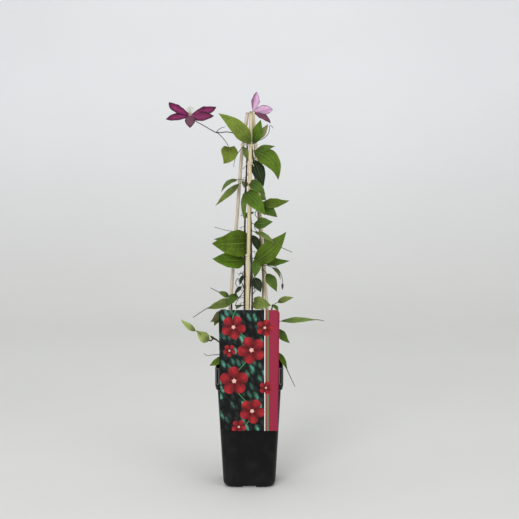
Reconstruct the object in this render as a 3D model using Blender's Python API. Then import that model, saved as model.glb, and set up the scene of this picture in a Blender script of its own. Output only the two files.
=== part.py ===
"""A young clematis in a tall square nursery pot, tied to three canes that lean together at the top.

Places and sizes are in millimetres: x to the right, y to the back, z up, with the origin on the
table under the middle of the pot. MM turns them into Blender's metres.
"""

import math
import random

import bmesh
import bpy
from mathutils import Matrix, Vector

MM = 0.001
GAP = 0.3

# Pot
POT_HEIGHT = 215.0
POT_FOOT = 45.5
POT_SHOULDER = 55.0
POT_COLLAR = 59.2
POT_CORNER = 14.0
FOOT_CORNER = 18.0
POT_WALL = 1.5
POT_FLOOR = 4.5
SHOULDER_HEIGHT = 174.0
COLLAR_HEIGHT = 184.0
# The rounded foot: how far in from the wall its edge lies, and at what height
FOOT_EDGE = ((6.0, 0.0), (2.0, 2.2), (0.0, 8.0))
# The step under the collar and the rounded rim: how far in, and how far up or down
STEP_EDGE = (1.4, 2.5)
RIM_EDGE = (0.5, 1.2)
NOTCH = (20.0, 8.0, 3.0)
DRAIN_RADIUS = 4.0
DRAIN_PLACE = 24.0

# Soil
SOIL_TOP = 198.0
SOIL_LUMP = 0.8
# The low crown of the soil: how far in from the collar each ring lies, and how far over SOIL_TOP
SOIL_CROWN = ((3, -1), (18, 1), (36, 2))
SOIL_EDGE = 3.0

# Label
LABEL_WIDTH = 105.0
LABEL_FOOT = 99.0
LABEL_LOW = 106.0
LABEL_HIGH = 318.0
LABEL_THICK = 0.8
LABEL_CORNER = 7.0
TONGUE_WIDTH = 30.0
TONGUE_LOW = 202.0

# Canes, from foot to top
CANE_RADIUS = 3.2
CANE_FRONT = [(-8, -41, 62), (-5.5, -34, 200), (-3, -27, 330), (-0.8, -20, 450), (1.4, -12, 560),
              (3.2, -5, 656)]
CANE_LEFT = [(-44, 31, 62), (-40, 27, 200), (-32, 21, 340), (-21, 14, 480), (-12.6, 7, 586),
             (-2.8, 3.6, 654)]
CANE_RIGHT = [(42, 31, 62), (38, 27, 200), (29, 21, 340), (18.6, 14, 480), (11.2, 7, 586),
              (6.4, 4.8, 655)]

# Twine round the three canes, and a small wire tie on the front one
TWINE_RADIUS = 0.8
TWINE_HEIGHT = 598.5
TWINE_KNOT = (3, -12)
WIRE_RADIUS = 0.6
TIE_HEIGHT = 566.0
TIE_KNOT = (4, -15)
TIED_STEM_RADIUS = 1.4
LOOP_SLACK = 0.35
KNOT_SIZE = 1.7
CUT_END = (4.0, -2.6, -3.0)

# Vine
BLADE_THICK = 0.7
STALK_RADIUS = 0.8
STEM_STEPS = 1
NARROW_BLADE = 14.0
BROAD_BLADE = 23.0
FINE_ROWS = (0, 0.10, 0.28, 0.50, 0.75, 1)
COARSE_ROWS = (0, 0.14, 0.38, 0.68, 1)
# The wavy edge: its height as a share of the blade's half width, and how fast it runs both ways
RIPPLE = (0.08, 7.0, 2.0)
STALK_BEND = 0.45
STALK_REACH = 0.05
TAIL_START = 0.8
TAIL_RADII = (0.6, 0.5)
BUD_TOP = (58, -10, 357.5)
BUD_SIZE = (2.1, 12.0)

# Blade outlines: where the blade is widest, how wide its base is, how pointed the tip is, and how
# far the two lobes beside the stalk reach back, all as shares of the blade.
OUTLINES = {
    "ovate": (0.34, 0.20, 1.05, 0.04),
    "heart": (0.24, 0.60, 1.0, 0.13),
    "lance": (0.36, 0.14, 1.20, 0.0),
    "sepal": (0.50, 0.22, 0.80, 0.0),
}


def leaf(node, base, tip, face, width, kind="ovate", arch=0.08, fold=0.12, bow=0.0, via=None,
         tail=None):
    """One leaf: the height or side place where its stalk leaves the stem, and its blade."""
    return dict(node=node, base=base, tip=tip, face=face, width=width, kind=kind, arch=arch,
                fold=fold, bow=bow, via=via, tail=tail)


# Each limb: its route, its thickness at both ends, its leaves, and the axis their nodes count on.
VINE_LEFT = [
    dict(route=[(-12, -4, 152), (-12, -5, 200), (-9, -7, 290), (-8, -8, 370), (-8, -5, 440),
                (-6.5, -3, 510), (-4.5, -1, 560), (-3.5, -1, 598), (-4.5, -3, 606)],
         radii=(1.8, 1.2), axis=2, leaves=[
        leaf(604, (1.5, -18.5, 601.5), (-53, -27, 653), (0.05, -0.95, 0.35), 28, arch=0.05,
             bow=0.05, via=(-7, -13, 604)),
        leaf(588, (-10, -4, 595), (-2, -3.5, 571), (0.1, -0.95, 0.2), 10.5, via=(-7, -2.5, 591)),
        leaf(536, (-20, 0, 538), (-49, -10, 516), (-0.2, -0.6, 0.8), 13, "lance", arch=0.20),
        leaf(531, (-17, -6, 531), (-59, -22, 493), (0.1, -0.75, 0.6), 13, "lance", arch=0.05),
        leaf(520, (-8, -9, 517), (-8, -18, 467), (-0.3, -0.9, 0.1), 11, "lance"),
        leaf(438, (-6.5, -13, 429), (-64, -45, 431), (-0.3, -0.95, 0.1), 47, "heart", arch=0.06,
             bow=-0.02),
        leaf(444, (-18, -2, 438), (-62, -12, 435), (-0.1, -0.6, 0.8), 17, arch=0, bow=-0.05),
        leaf(402, (-8.5, -12, 398), (-64, -32, 403), (-0.1, -0.85, 0.5), 34, arch=0.04, bow=-0.04),
        leaf(372, (-11, -12, 372), (-17, -15, 354), (-0.3, -0.9, 0.2), 7, "lance"),
        leaf(350, (-14, -12, 352), (-26, -15, 338), (-0.2, -0.8, 0.5), 8),
    ]),
    dict(route=[(-4.5, -3, 604), (-12, -4, 611), (-25, -8, 618), (-38, -13, 621), (-55, -18, 620),
                (-66, -20, 625), (-78, -20, 632), (-94, -19.5, 641), (-99.6, -18.9, 645.8),
                (-101, -19.1, 648.25)],
         radii=(1.0, 0.8), axis=0, leaves=[
        leaf(-55, (-34, -20, 593.5), (-44, -28, 567), (0.1, -0.98, 0.15), 29, "heart",
             bow=-0.10, via=(-42, -20, 610)),
    ]),
    dict(route=[(-57, -18.5, 620.5), (-50, -17, 627), (-41, -12, 630)], radii=(0.7, 0.5)),
    dict(route=[(-8, -5, 446), (-20, -1, 447), (-40, -6, 450), (-60, -12, 456)], radii=(0.7, 0.5)),
    dict(route=[(-3.8, -1, 588), (-10, -3, 595), (-16, -5, 589), (-21.5, -8, 581),
                (-25.5, -9, 571), (-27, -9, 560)], radii=(0.7, 0.5)),
    dict(route=[(-8.5, -7, 345), (-13, -11, 358), (-20, -12, 366), (-24, -12, 357),
                (-19, -14, 350), (-22, -13, 343)], radii=(0.9, 0.6)),
    dict(route=[(-8, -8, 362), (-12, -12, 374), (-9, -15, 380)], radii=(0.8, 0.6)),
    dict(route=[(-8.8, -7.6, 345), (-15, -11, 336), (-21, -14, 327), (-25, -15, 318)],
         radii=(0.8, 0.6)),
]

VINE_RIGHT = [
    dict(route=[(18, 4, 152), (18, 3, 200), (22, 5, 290), (24, 8, 350), (22, 6, 400), (17, 3, 460),
                (12, 1, 520), (7, 1, 570), (4, 1.5, 600), (5, 2, 610)],
         radii=(1.7, 1.2), axis=2, leaves=[
        leaf(602, (8, -1, 601.5), (20, -2, 642), (0.15, -0.98, 0.05), 20, arch=0.02, fold=0.05),
        leaf(608, (19, 0, 609), (33, 6, 634), (-0.35, -0.9, 0.3), 13, via=(13, -1.5, 610)),
        leaf(590, (12.5, -5, 589.5), (45, -8, 596.5), (0, -0.8, 0.6), 14, arch=0),
        leaf(582, (9, -7, 587), (50, -29, 539), (0.35, -0.9, 0.3), 33, arch=0.08, bow=-0.15),
        leaf(576, (8.5, -3, 571), (25, -5, 526), (0.3, -0.95, 0.1), 24, arch=0.04),
        leaf(500, (21, -2, 497), (70, -4, 502), (-0.05, -0.7, 0.7), 22, arch=0.02, bow=0.09),
        leaf(494, (22, -4, 492), (49, -10, 473), (0.2, -0.9, 0.4), 20),
        leaf(396, (27, -2, 392), (71, -6, 396.5), (0, -0.6, 0.8), 18, arch=0, bow=0.03),
        leaf(388, (39, -3, 385), (54.5, -10, 363), (0.6, -0.6, 0.5), 9, "lance", arch=0.18),
        leaf(378, (31, -4, 373), (48, -15, 343), (0.2, -0.9, 0.35), 19),
    ]),
    dict(route=[(14.8, 2.2, 488), (10, -3, 478), (15, -5, 469), (9, -4, 457), (13, -1, 447)],
         radii=(0.8, 0.6)),
    dict(route=[(4.2, 1.4, 603), (11, -1, 605), (16, 1, 606), (24.5, 4, 609), (32.5, 7, 617),
                (35, 8, 624), (35.5, 8, 630), (38, 8, 631.5), (41.5, 8, 627)], radii=(0.8, 0.6)),
    dict(route=[(22.5, 6.5, 392), (42, -4, 388), (53, -9, 378), (57.5, -10, 366), (58, -10, 357.8)],
         radii=(0.8, 0.6)),
]

VINE_BACK = [
    dict(route=[(0, 20, 152), (0, 20, 200), (-2, 24, 290), (3, 25, 380), (2, 22, 460),
                (2, 18, 530), (2, 15, 590), (4, 14, 625), (4.6, 12.9, 648), (5.2, 12.6, 654.7)],
         radii=(1.7, 1.0), axis=2, leaves=[
        leaf(578, (10, 24, 575), (36, 44, 560), (0.1, 0.6, 0.8), 24),
        leaf(508, (8, 27, 506), (30, 52, 498), (-0.3, 0.6, 0.8), 24),
        leaf(482, (1, 32, 478), (-4, 64, 464), (-0.2, 0.4, 0.9), 20),
        leaf(432, (12, 31, 426), (48, 48, 420), (0.1, 0.7, 0.7), 26),
        leaf(432, (-8, 32, 430), (-50, 50, 428), (-0.1, 0.8, 0.5), 26),
        leaf(394, (14, 33, 392), (52, 48, 392), (0.2, 0.8, 0.5), 24),
        leaf(400, (-8, 34, 400), (-44, 48, 402), (-0.2, 0.8, 0.6), 22),
        leaf(350, (4, 34, 348), (10, 66, 338), (0.3, 0.3, 0.9), 24),
        leaf(534, (-2, 28, 531), (-10, 58, 520), (0.2, 0.3, 0.9), 20),
        leaf(312, (-6, 33, 312), (-24, 62, 300), (-0.3, 0.5, 0.8), 22),
        leaf(300, (10, 34, 300), (36, 60, 292), (0.2, 0.6, 0.8), 22),
    ]),
]

VINE_FRONT = [
    dict(route=[(6, -15, 152), (6, -16, 200), (5, -17, 300), (5, -15, 350), (4, -12, 400),
                (3, -9, 460), (1, -7, 500), (0, -5.5, 530)],
         radii=(1.7, 1.1), axis=2, leaves=[
        leaf(528, (3.5, -18.5, 533.5), (28, -17, 513), (0.1, -0.85, 0.5), 20, "heart",
             via=(8, -13, 531)),
        leaf(518, (-3, -23, 516), (28, -38, 479), (0.15, -0.95, 0.3), 27, "heart",
             via=(-6, -13, 518)),
        leaf(466, (9, -16, 462), (41, -26, 467), (0, -0.8, 0.6), 23, arch=0.04, bow=0.05),
        leaf(452, (8, -17, 449), (46, -37, 428), (0.3, -0.6, 0.75), 13, "lance",
             tail=(74, -38, 415)),
        leaf(436, (7, -8.5, 441), (17, -8, 412), (0.3, -0.9, 0.1), 14),
        leaf(402, (14, -18.5, 402), (9, -26, 369), (0.1, -0.97, 0.1), 17),
        leaf(390, (9, -16.5, 396), (64, -30, 450), (-0.2, -0.95, 0.2), 33, arch=0.06, bow=0.07,
             via=(6.5, -15, 391)),
        leaf(370, (8, -12, 367), (20.5, -15, 342), (0.2, -0.9, 0.3), 18),
        leaf(318, (9, -17, 325), (38, -24, 320), (0, -0.95, 0.25), 23, "heart"),
    ]),
    dict(route=[(5, -16, 338), (10, -19, 346), (7, -22, 356), (12, -20, 362)], radii=(0.8, 0.6)),
]

SHOOT_LEFT = [
    dict(route=[(-24, -6, 152), (-24, -6, 200), (-28, -5, 260), (-31, -4, 315), (-31, -4, 330)],
         radii=(1.5, 1.1), axis=2, leaves=[
        leaf(329, (-36, -4, 333.5), (-54.5, -11, 342.5), (-0.1, -0.8, 0.6), 12, "ovate", arch=0,
             tail=(-68, -14, 350)),
        leaf(324, (-30, -12, 329), (-74, -24, 315), (0, -0.75, 0.6), 19, "ovate", arch=0, bow=-0.04,
             tail=(-98, -30, 300)),
        leaf(327, (-23, -9, 338), (-37, -22, 319), (-0.2, -0.85, 0.4), 17),
        leaf(300, (-47, -34, 315), (-67.5, -46, 294.5), (-0.4, -0.85, 0.3), 15, bow=-0.15,
             via=(-40, -22, 315)),
        leaf(285, (-48, -31, 307), (-61, -39, 286.5), (-0.3, -0.9, 0.2), 13, via=(-38, -20, 300)),
    ]),
]

SHOOT_LEFT_LOW = [
    dict(route=[(-30, -24, 160), (-31, -25, 200), (-39, -28, 232), (-49, -29, 252), (-61, -30, 263),
                (-68, -31, 259), (-80, -34, 268), (-91, -37, 277)],
         radii=(1.3, 0.8), axis=0, leaves=[
        leaf(-61, (-70, -32, 260.5), (-91, -37, 278.5), (-0.1, -0.9, 0.4), 19, "ovate",
             arch=0.02, bow=-0.06, via=(-67, -31, 260)),
        leaf(-86, (-93, -38, 278), (-119, -43, 299), (0.2, -0.8, 0.5), 12, "lance", bow=-0.07),
        leaf(-56, (-61, -32, 262), (-69, -38, 270), (-0.3, -0.8, 0.5), 5, "lance"),
        leaf(-37, (-49, -38, 229), (-69, -45, 218), (-0.1, -0.9, 0.4), 12, "ovate", arch=0,
             bow=-0.04),
    ]),
    dict(route=[(-39.5, -28, 233), (-57, -28, 234), (-70, -29, 233), (-75, -29, 233),
                (-79, -30, 237)], radii=(0.7, 0.5)),
]

SHOOT_RIGHT = [
    dict(route=[(30, -2, 152), (30, -2, 200), (34, 0, 255), (38, 2, 300), (41, 2, 318)],
         radii=(1.5, 1.0), axis=2, leaves=[
        leaf(315, (50, 3, 322), (78, 0, 331), (0, -0.8, 0.6), 12, "ovate"),
        leaf(308, (43, -5, 318), (51, -12, 308), (0.3, -0.8, 0.4), 8, "ovate"),
        leaf(284, (55, -8, 290), (121, -18, 294), (0, -0.7, 0.7), 12, "lance", arch=0.02,
             tail=(131, -20, 292)),
    ]),
]

SHOOT_RIGHT_LOW = [
    dict(route=[(36, -24, 160), (36, -25, 200), (42, -24, 240), (46, -22, 275)],
         radii=(1.3, 0.9), axis=2, leaves=[
        leaf(270, (50, -22, 279), (71, -30, 255), (0.3, -0.9, 0.4), 16, bow=0.11),
        leaf(238, (48, -25, 239), (67, -27, 205), (0.5, -0.8, 0.3), 11, "lance", arch=0.08,
             tail=(80, -28, 177)),
    ]),
]

SHOOT_BACK_LEFT = [
    dict(route=[(-14, 34, 160), (-14, 35, 200), (-18, 40, 250), (-22, 44, 288)],
         radii=(1.3, 0.9), axis=2, leaves=[
        leaf(284, (-26, 50, 292), (-44, 76, 280), (-0.3, 0.5, 0.8), 20),
        leaf(250, (-10, 51, 256), (0, 80, 246), (0.3, 0.3, 0.9), 20),
        leaf(226, (-25, 52, 238), (-44, 80, 224), (-0.3, 0.5, 0.8), 18),
    ]),
]

SHOOT_BACK_RIGHT = [
    dict(route=[(16, 36, 160), (16, 37, 200), (20, 42, 250), (24, 46, 280)],
         radii=(1.3, 0.9), axis=2, leaves=[
        leaf(276, (29, 52, 284), (48, 76, 272), (0.3, 0.5, 0.8), 20),
        leaf(240, (28, 53, 246), (44, 80, 232), (0.3, 0.4, 0.9), 18),
    ]),
]

# Blooms: the middle, the way the open face looks, and for each sepal its tip, face, width and bow
BLOOM_LEFT = dict(
    middle=(-101, -20, 650), face=(0, -0.45, 0.9), sepals=[
        ((-138, -8, 672), (0.1, -0.7, 0.7), 19, -0.14),
        ((-142, -32, 643), (-0.1, -0.8, 0.6), 16.5, -0.02),
        ((-100, -54, 629), (0, -0.75, 0.65), 18, 0),
        ((-60, -38, 649), (0.1, -0.8, 0.6), 21, 0.1),
        ((-57, -8, 664), (0, -0.75, 0.65), 20, 0.09),
    ])
BLOOM_RIGHT = dict(
    middle=(7, 14, 655.5), face=(0.75, 0.6, 0.3), sepals=[
        ((13.5, 10, 690), (0.65, 0.75, -0.1), 18, 0.05),
        ((41, 4, 659.5), (0, 0.9, 0.3), 18, 0),
        ((37, -8, 636), (0.25, -0.55, 0.8), 16, 0),
        ((7.5, 49, 673), (0.97, 0, -0.1), 16, 0),
        ((5.5, 45, 640), (0.97, 0, 0.1), 15, 0),
    ])
SEPAL_START = 2.0
DISC = (2.2, 3.4, 2.4)
STAMEN_CORE = (1.6, 2.2, 3.2)
STAMEN_COUNT = 9
STAMEN_LENGTH = 14.0
STAMEN_SPREAD = 0.6
STAMEN_FOOT = 1.2
STAMEN_CURVE = 0.6
STAMEN_RADII = (0.45, 0.6)


def material(name, colour, roughness):
    """A plain surface of one colour and roughness."""
    surface = bpy.data.materials.new(name)
    surface.use_nodes = True
    shader = surface.node_tree.nodes["Principled BSDF"]
    shader.inputs["Base Color"].default_value = (*colour, 1)
    shader.inputs["Roughness"].default_value = roughness
    return surface


def add_object(name, data, surface=None):
    """A new object of the mesh or curve in the scene."""
    obj = bpy.data.objects.new(name, data)
    bpy.context.scene.collection.objects.link(obj)
    if surface:
        data.materials.append(surface)
    return obj


def finish_mesh(name, shape, surface=None):
    """Turns a bmesh in millimetres, with its faces outwards, into an object in metres."""
    bmesh.ops.recalc_face_normals(shape, faces=shape.faces)
    bmesh.ops.scale(shape, vec=(MM, MM, MM), verts=shape.verts)
    mesh = bpy.data.meshes.new(name)
    shape.to_mesh(mesh)
    shape.free()
    return add_object(name, mesh, surface)


def applied(obj):
    """The object as a plain mesh, with its curve or its modifiers worked out."""
    depsgraph = bpy.context.evaluated_depsgraph_get()
    mesh = bpy.data.meshes.new_from_object(obj.evaluated_get(depsgraph), depsgraph=depsgraph)
    name = obj.name
    surface = obj.active_material
    bpy.data.objects.remove(obj)
    new = add_object(name, mesh)
    mesh.materials.clear()
    if surface:
        mesh.materials.append(surface)
    return new


def boolean(obj, pieces, operation):
    """Joins or cuts the object by all the pieces at once, then removes the pieces."""
    group = bpy.data.collections.new(obj.name + "_pieces")
    bpy.context.scene.collection.children.link(group)
    for piece in pieces:
        bpy.context.scene.collection.objects.unlink(piece)
        group.objects.link(piece)
    step = obj.modifiers.new(operation.title(), "BOOLEAN")
    step.operation = operation
    step.operand_type = "COLLECTION"
    step.collection = group
    step.solver = "EXACT"
    result = applied(obj)
    for piece in pieces:
        bpy.data.objects.remove(piece)
    bpy.data.collections.remove(group)
    return result


def smooth_route(points, steps):
    """A curve through all the points, with so many steps from each to the next."""
    points = [Vector(p) for p in points]
    ends = [2 * points[0] - points[1], *points, 2 * points[-1] - points[-2]]
    route = []
    for before, here, there, after in zip(ends, ends[1:], ends[2:], ends[3:]):
        for step in range(steps):
            t = step / steps
            route.append(0.5 * (2 * here + (there - before) * t
                                + (2 * before - 5 * here + 4 * there - after) * t ** 2
                                + (3 * here - before - 3 * there + after) * t ** 3))
    return route + [points[-1]]


def tube(name, route, radii, resolution=0, cyclic=False):
    """A round bar along the route, whose radius runs evenly from the first to the second."""
    curve = bpy.data.curves.new(name, "CURVE")
    curve.dimensions = "3D"
    curve.bevel_depth = MM
    curve.bevel_resolution = resolution
    curve.use_fill_caps = not cyclic
    spline = curve.splines.new("POLY")
    spline.points.add(len(route) - 1)
    spline.use_cyclic_u = cyclic
    for index, (point, place) in enumerate(zip(spline.points, route)):
        share = index / (len(route) - 1)
        point.co = (*(place * MM), 1)
        point.radius = radii[0] + (radii[1] - radii[0]) * share
    return applied(add_object(name, curve))


def half_width(t, kind):
    """Half of the blade's width at t, from 0 at the base to 1 at the tip, as a share of the widest."""
    widest, base, point, _ = OUTLINES[kind]
    if t < widest:
        return base + (1 - base) * math.sin(math.pi / 2 * t / widest)
    return math.cos(math.pi / 2 * (t - widest) / (1 - widest)) ** point


def midrib(spec, t):
    """Place and heading of the blade's midrib at t: an arc over the line from base to tip."""
    base = Vector(spec["base"])
    tip = Vector(spec["tip"])
    chord = tip - base
    up = Vector(spec["face"])
    up = (up - up.project(chord)).normalized()
    side = chord.normalized().cross(up)
    bend = (base + tip) / 2 + 2 * chord.length * (up * spec["arch"] + side * spec["bow"])
    place = (1 - t) ** 2 * base + 2 * t * (1 - t) * bend + t ** 2 * tip
    heading = (2 * (1 - t) * (bend - base) + 2 * t * (tip - bend)).normalized()
    return place, heading


def blade(name, spec):
    """A thin leaf or sepal: an outline along an arched midrib, folded up a little on both sides."""
    kind = spec["kind"]
    lobe = OUTLINES[kind][3]
    columns = 2 if spec["width"] < BROAD_BLADE else 4
    rows = COARSE_ROWS if spec["width"] < NARROW_BLADE else FINE_ROWS
    shape = bmesh.new()
    grid = []
    for t in rows:
        place, heading = midrib(spec, t)
        up = Vector(spec["face"])
        up = (up - up.project(heading)).normalized()
        side = heading.cross(up)
        half = max(half_width(t, kind) * spec["width"] / 2, 0.5)
        line = []
        for column in range(columns + 1):
            v = 2 * column / columns - 1
            back = lobe * spec["width"] * abs(v) * (1 - t) ** 4
            ripple = RIPPLE[0] * math.sin(RIPPLE[1] * t + RIPPLE[2] * v)
            rise = (spec["fold"] + ripple) * abs(v) * half
            line.append(shape.verts.new(place + side * v * half + up * rise - heading * back))
        grid.append(line)
    for low, high in zip(grid, grid[1:]):
        for column in range(columns):
            shape.faces.new((low[column], low[column + 1], high[column + 1], high[column]))
    bmesh.ops.triangulate(shape, faces=shape.faces, quad_method="FIXED")
    sheet = finish_mesh(name, shape)
    wall = sheet.modifiers.new("Thickness", "SOLIDIFY")
    wall.thickness = BLADE_THICK * MM
    wall.offset = 0
    return applied(sheet)


def stalk_route(start, spec):
    """The leaf stalk's curve from the stem into the start of the blade."""
    base, heading = midrib(spec, 0)
    end = midrib(spec, STALK_REACH)[0]
    reach = (base - start).length
    bend = Vector(spec["via"]) if spec["via"] else base - heading * STALK_BEND * reach
    steps = 3
    route = [(1 - t) ** 2 * start + 2 * t * (1 - t) * bend + t ** 2 * base
             for t in (step / steps for step in range(steps + 1))]
    return route + [end]


def point_on(route, axis, value):
    """The point of the route whose coordinate on the axis is nearest to the value."""
    return min(route, key=lambda place: abs(place[axis] - value))


def leafy_stem(name, limbs, surface):
    """A stem with its side stems, tendrils, leaf stalks and blades, joined into one body."""
    pieces = []
    for number, limb in enumerate(limbs):
        label = f"{name}_{number}"
        rises = limb.get("axis") == 2
        route = smooth_route(limb["route"], STEM_STEPS if rises else 2)
        pieces.append(tube(label, route, limb["radii"], resolution=1 if rises else 0))
        nodes = [start.lerp(end, step / 20) for start, end in zip(route, route[1:])
                 for step in range(21)]
        for count, spec in enumerate(limb.get("leaves", ())):
            start = point_on(nodes, limb["axis"], spec["node"])
            stalk = stalk_route(start, spec)
            pieces.append(tube(f"{label}_stalk_{count}", stalk, (STALK_RADIUS, STALK_RADIUS)))
            pieces.append(blade(f"{label}_blade_{count}", spec))
            if spec["tail"]:
                tail = [midrib(spec, TAIL_START)[0], Vector(spec["tip"]), Vector(spec["tail"])]
                pieces.append(tube(f"{label}_tail_{count}", smooth_route(tail, 2), TAIL_RADII))
    stem, *rest = pieces
    stem.data.materials.append(surface)
    stem.name = name
    return boolean(stem, rest, "UNION")


def rounded_square(half, corner, height, per_corner=5):
    """Points round a square with rounded corners, at one height."""
    points = []
    for quarter in range(4):
        turn = Matrix.Rotation(quarter * math.pi / 2, 3, "Z")
        for step in range(per_corner):
            angle = math.pi / 2 * step / (per_corner - 1)
            place = Vector((half - corner + corner * math.cos(angle),
                            half - corner + corner * math.sin(angle), height))
            points.append(turn @ place)
    return points


def stacked_rings(name, rings, surface):
    """A closed solid through rings of equal count, with a flat face on the first and the last."""
    shape = bmesh.new()
    loops = [[shape.verts.new(place) for place in ring] for ring in rings]
    count = len(loops[0])
    for low, high in zip(loops, loops[1:]):
        for i in range(count):
            j = (i + 1) % count
            shape.faces.new((low[i], low[j], high[j], high[i]))
    shape.faces.new(reversed(loops[0]))
    shape.faces.new(loops[-1])
    return finish_mesh(name, shape, surface)


def wall_half(height):
    """Half the pot's outer width at a height below the shoulder."""
    return POT_FOOT + (POT_SHOULDER - POT_FOOT) * height / SHOULDER_HEIGHT


def cylinder(name, centre, radius, low, high, sides=12):
    """An upright round bar."""
    shape = bmesh.new()
    bmesh.ops.create_cone(shape, cap_ends=True, segments=sides, radius1=radius, radius2=radius,
                          depth=high - low,
                          matrix=Matrix.Translation((*centre, (low + high) / 2)))
    return finish_mesh(name, shape)


def block(name, low, high):
    """A box between two corners."""
    shape = bmesh.new()
    size = Vector(high) - Vector(low)
    centre = (Vector(high) + Vector(low)) / 2
    bmesh.ops.create_cube(shape, size=1, matrix=Matrix.Translation(centre) @ Matrix.Diagonal(
        (*size, 1)))
    return finish_mesh(name, shape)


def make_pot(surface):
    """The tapered square pot: a thin wall, a stepped collar, edge notches and drain holes."""
    inner_foot = wall_half(POT_FLOOR) - POT_WALL
    inner_collar = POT_COLLAR - POT_WALL
    corner = POT_CORNER
    rings = [rounded_square(wall_half(height) - inset, FOOT_CORNER - inset / 2, height)
             for inset, height in FOOT_EDGE]
    rings += [
        rounded_square(POT_SHOULDER, corner, SHOULDER_HEIGHT),
        rounded_square(POT_COLLAR - STEP_EDGE[0], corner, SHOULDER_HEIGHT + STEP_EDGE[1]),
        rounded_square(POT_COLLAR, corner, COLLAR_HEIGHT),
        rounded_square(POT_COLLAR, corner, POT_HEIGHT - RIM_EDGE[1]),
        rounded_square(POT_COLLAR - RIM_EDGE[0], corner - RIM_EDGE[0], POT_HEIGHT),
        rounded_square(inner_collar, corner - POT_WALL, POT_HEIGHT),
        rounded_square(inner_collar, corner - POT_WALL, COLLAR_HEIGHT),
        rounded_square(POT_SHOULDER - POT_WALL, corner - POT_WALL, SHOULDER_HEIGHT),
        rounded_square(inner_foot, FOOT_CORNER - POT_WALL, POT_FLOOR),
    ]
    pot = stacked_rings("pot", rings, surface)
    width, depth, height = NOTCH
    cutters = []
    for side in (-1, 1):
        reach = (POT_FOOT - depth, POT_FOOT + depth)
        near, far = sorted((side * reach[0], side * reach[1]))
        cutters.append(block("notch", (-width / 2, near, -1), (width / 2, far, height)))
        cutters.append(block("notch", (near, -width / 2, -1), (far, width / 2, height)))
        for other in (-1, 1):
            place = (side * DRAIN_PLACE, other * DRAIN_PLACE)
            cutters.append(cylinder("drain", place, DRAIN_RADIUS, -1, POT_FLOOR + 1))
    return boolean(pot, cutters, "DIFFERENCE")


def make_soil(surface, rooted):
    """The root ball, a little clear of the pot, with a hole for each cane and stem."""
    def inside(height):
        return wall_half(height) - POT_WALL - GAP

    corner = POT_CORNER - POT_WALL - GAP
    low = POT_FLOOR + GAP
    collar = POT_COLLAR - POT_WALL - GAP
    rings = [
        rounded_square(inside(low), FOOT_CORNER - POT_WALL - GAP, low),
        rounded_square(inside(SHOULDER_HEIGHT), corner, SHOULDER_HEIGHT + 1),
        rounded_square(collar, corner, COLLAR_HEIGHT + 1),
        rounded_square(collar, corner, SOIL_TOP - SOIL_EDGE),
    ]
    drawn = random.Random(7)
    for inset, rise in SOIL_CROWN:
        ring = rounded_square(collar - inset, corner, SOIL_TOP + rise)
        for place in ring:
            place.z += drawn.uniform(-SOIL_LUMP, SOIL_LUMP)
        rings.append(ring)
    soil = stacked_rings("soil", rings, surface)
    holes = []
    for route, radii in rooted:
        start = route[0] - (route[1] - route[0]).normalized() * GAP
        out = next(i for i, place in enumerate(route) if place.z > SOIL_TOP + 8)
        stretch = [start] + route[1:out + 1]
        wide = (radii[0] + GAP + 0.1, radii[0] + GAP + 0.1)
        holes.append(tube("hole", stretch, wide, resolution=2 if radii[0] == CANE_RADIUS else 1))
    return boolean(soil, holes, "DIFFERENCE")


def make_cane(name, points, surface):
    """A round cane, a little bowed towards the tie."""
    cane = tube(name, smooth_route(points, 2), (CANE_RADIUS, CANE_RADIUS * 0.94), resolution=2)
    cane.data.materials.append(surface)
    return cane


def outer_loop(centres, reach, height, count=8):
    """The tight loop round several round bars, each a centre and a radius, seen from above."""
    points = []
    for centre, radius in centres:
        for step in range(count):
            angle = 2 * math.pi * step / count
            grown = radius + reach
            points.append((centre.x + grown * math.cos(angle), centre.y + grown * math.sin(angle)))
    points.sort()

    def half_hull(line):
        hull = []
        for x, y in line:
            while len(hull) > 1:
                (ax, ay), (bx, by) = hull[-2:]
                if (bx - ax) * (y - ay) - (by - ay) * (x - ax) > 0.01:
                    break
                hull.pop()
            hull.append((x, y))
        return hull[:-1]

    hull = half_hull(points) + half_hull(points[::-1])
    return [Vector((x, y, height)) for x, y in hull]


def make_tie(name, centres, height, radius, knot, surface):
    """A loop of twine round the bars, with a small knot and two cut ends."""
    loop = outer_loop(centres, radius + GAP + LOOP_SLACK, height)
    ring = tube(name, loop, (radius, radius), cyclic=True)
    place = min(loop, key=lambda p: (p - Vector((*knot, height))).length)
    shape = bmesh.new()
    bmesh.ops.create_icosphere(shape, subdivisions=1, radius=radius * KNOT_SIZE,
                               matrix=Matrix.Translation(place + Vector((0, -radius, 0))))
    ball = finish_mesh("knot", shape)
    out, front, drop = CUT_END
    ends = [tube("end", [place, place + Vector((side * out, front, drop - side))],
                 (radius, radius)) for side in (-1, 1)]
    ring.data.materials.append(surface)
    return boolean(ring, [ball, *ends], "UNION")


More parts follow.
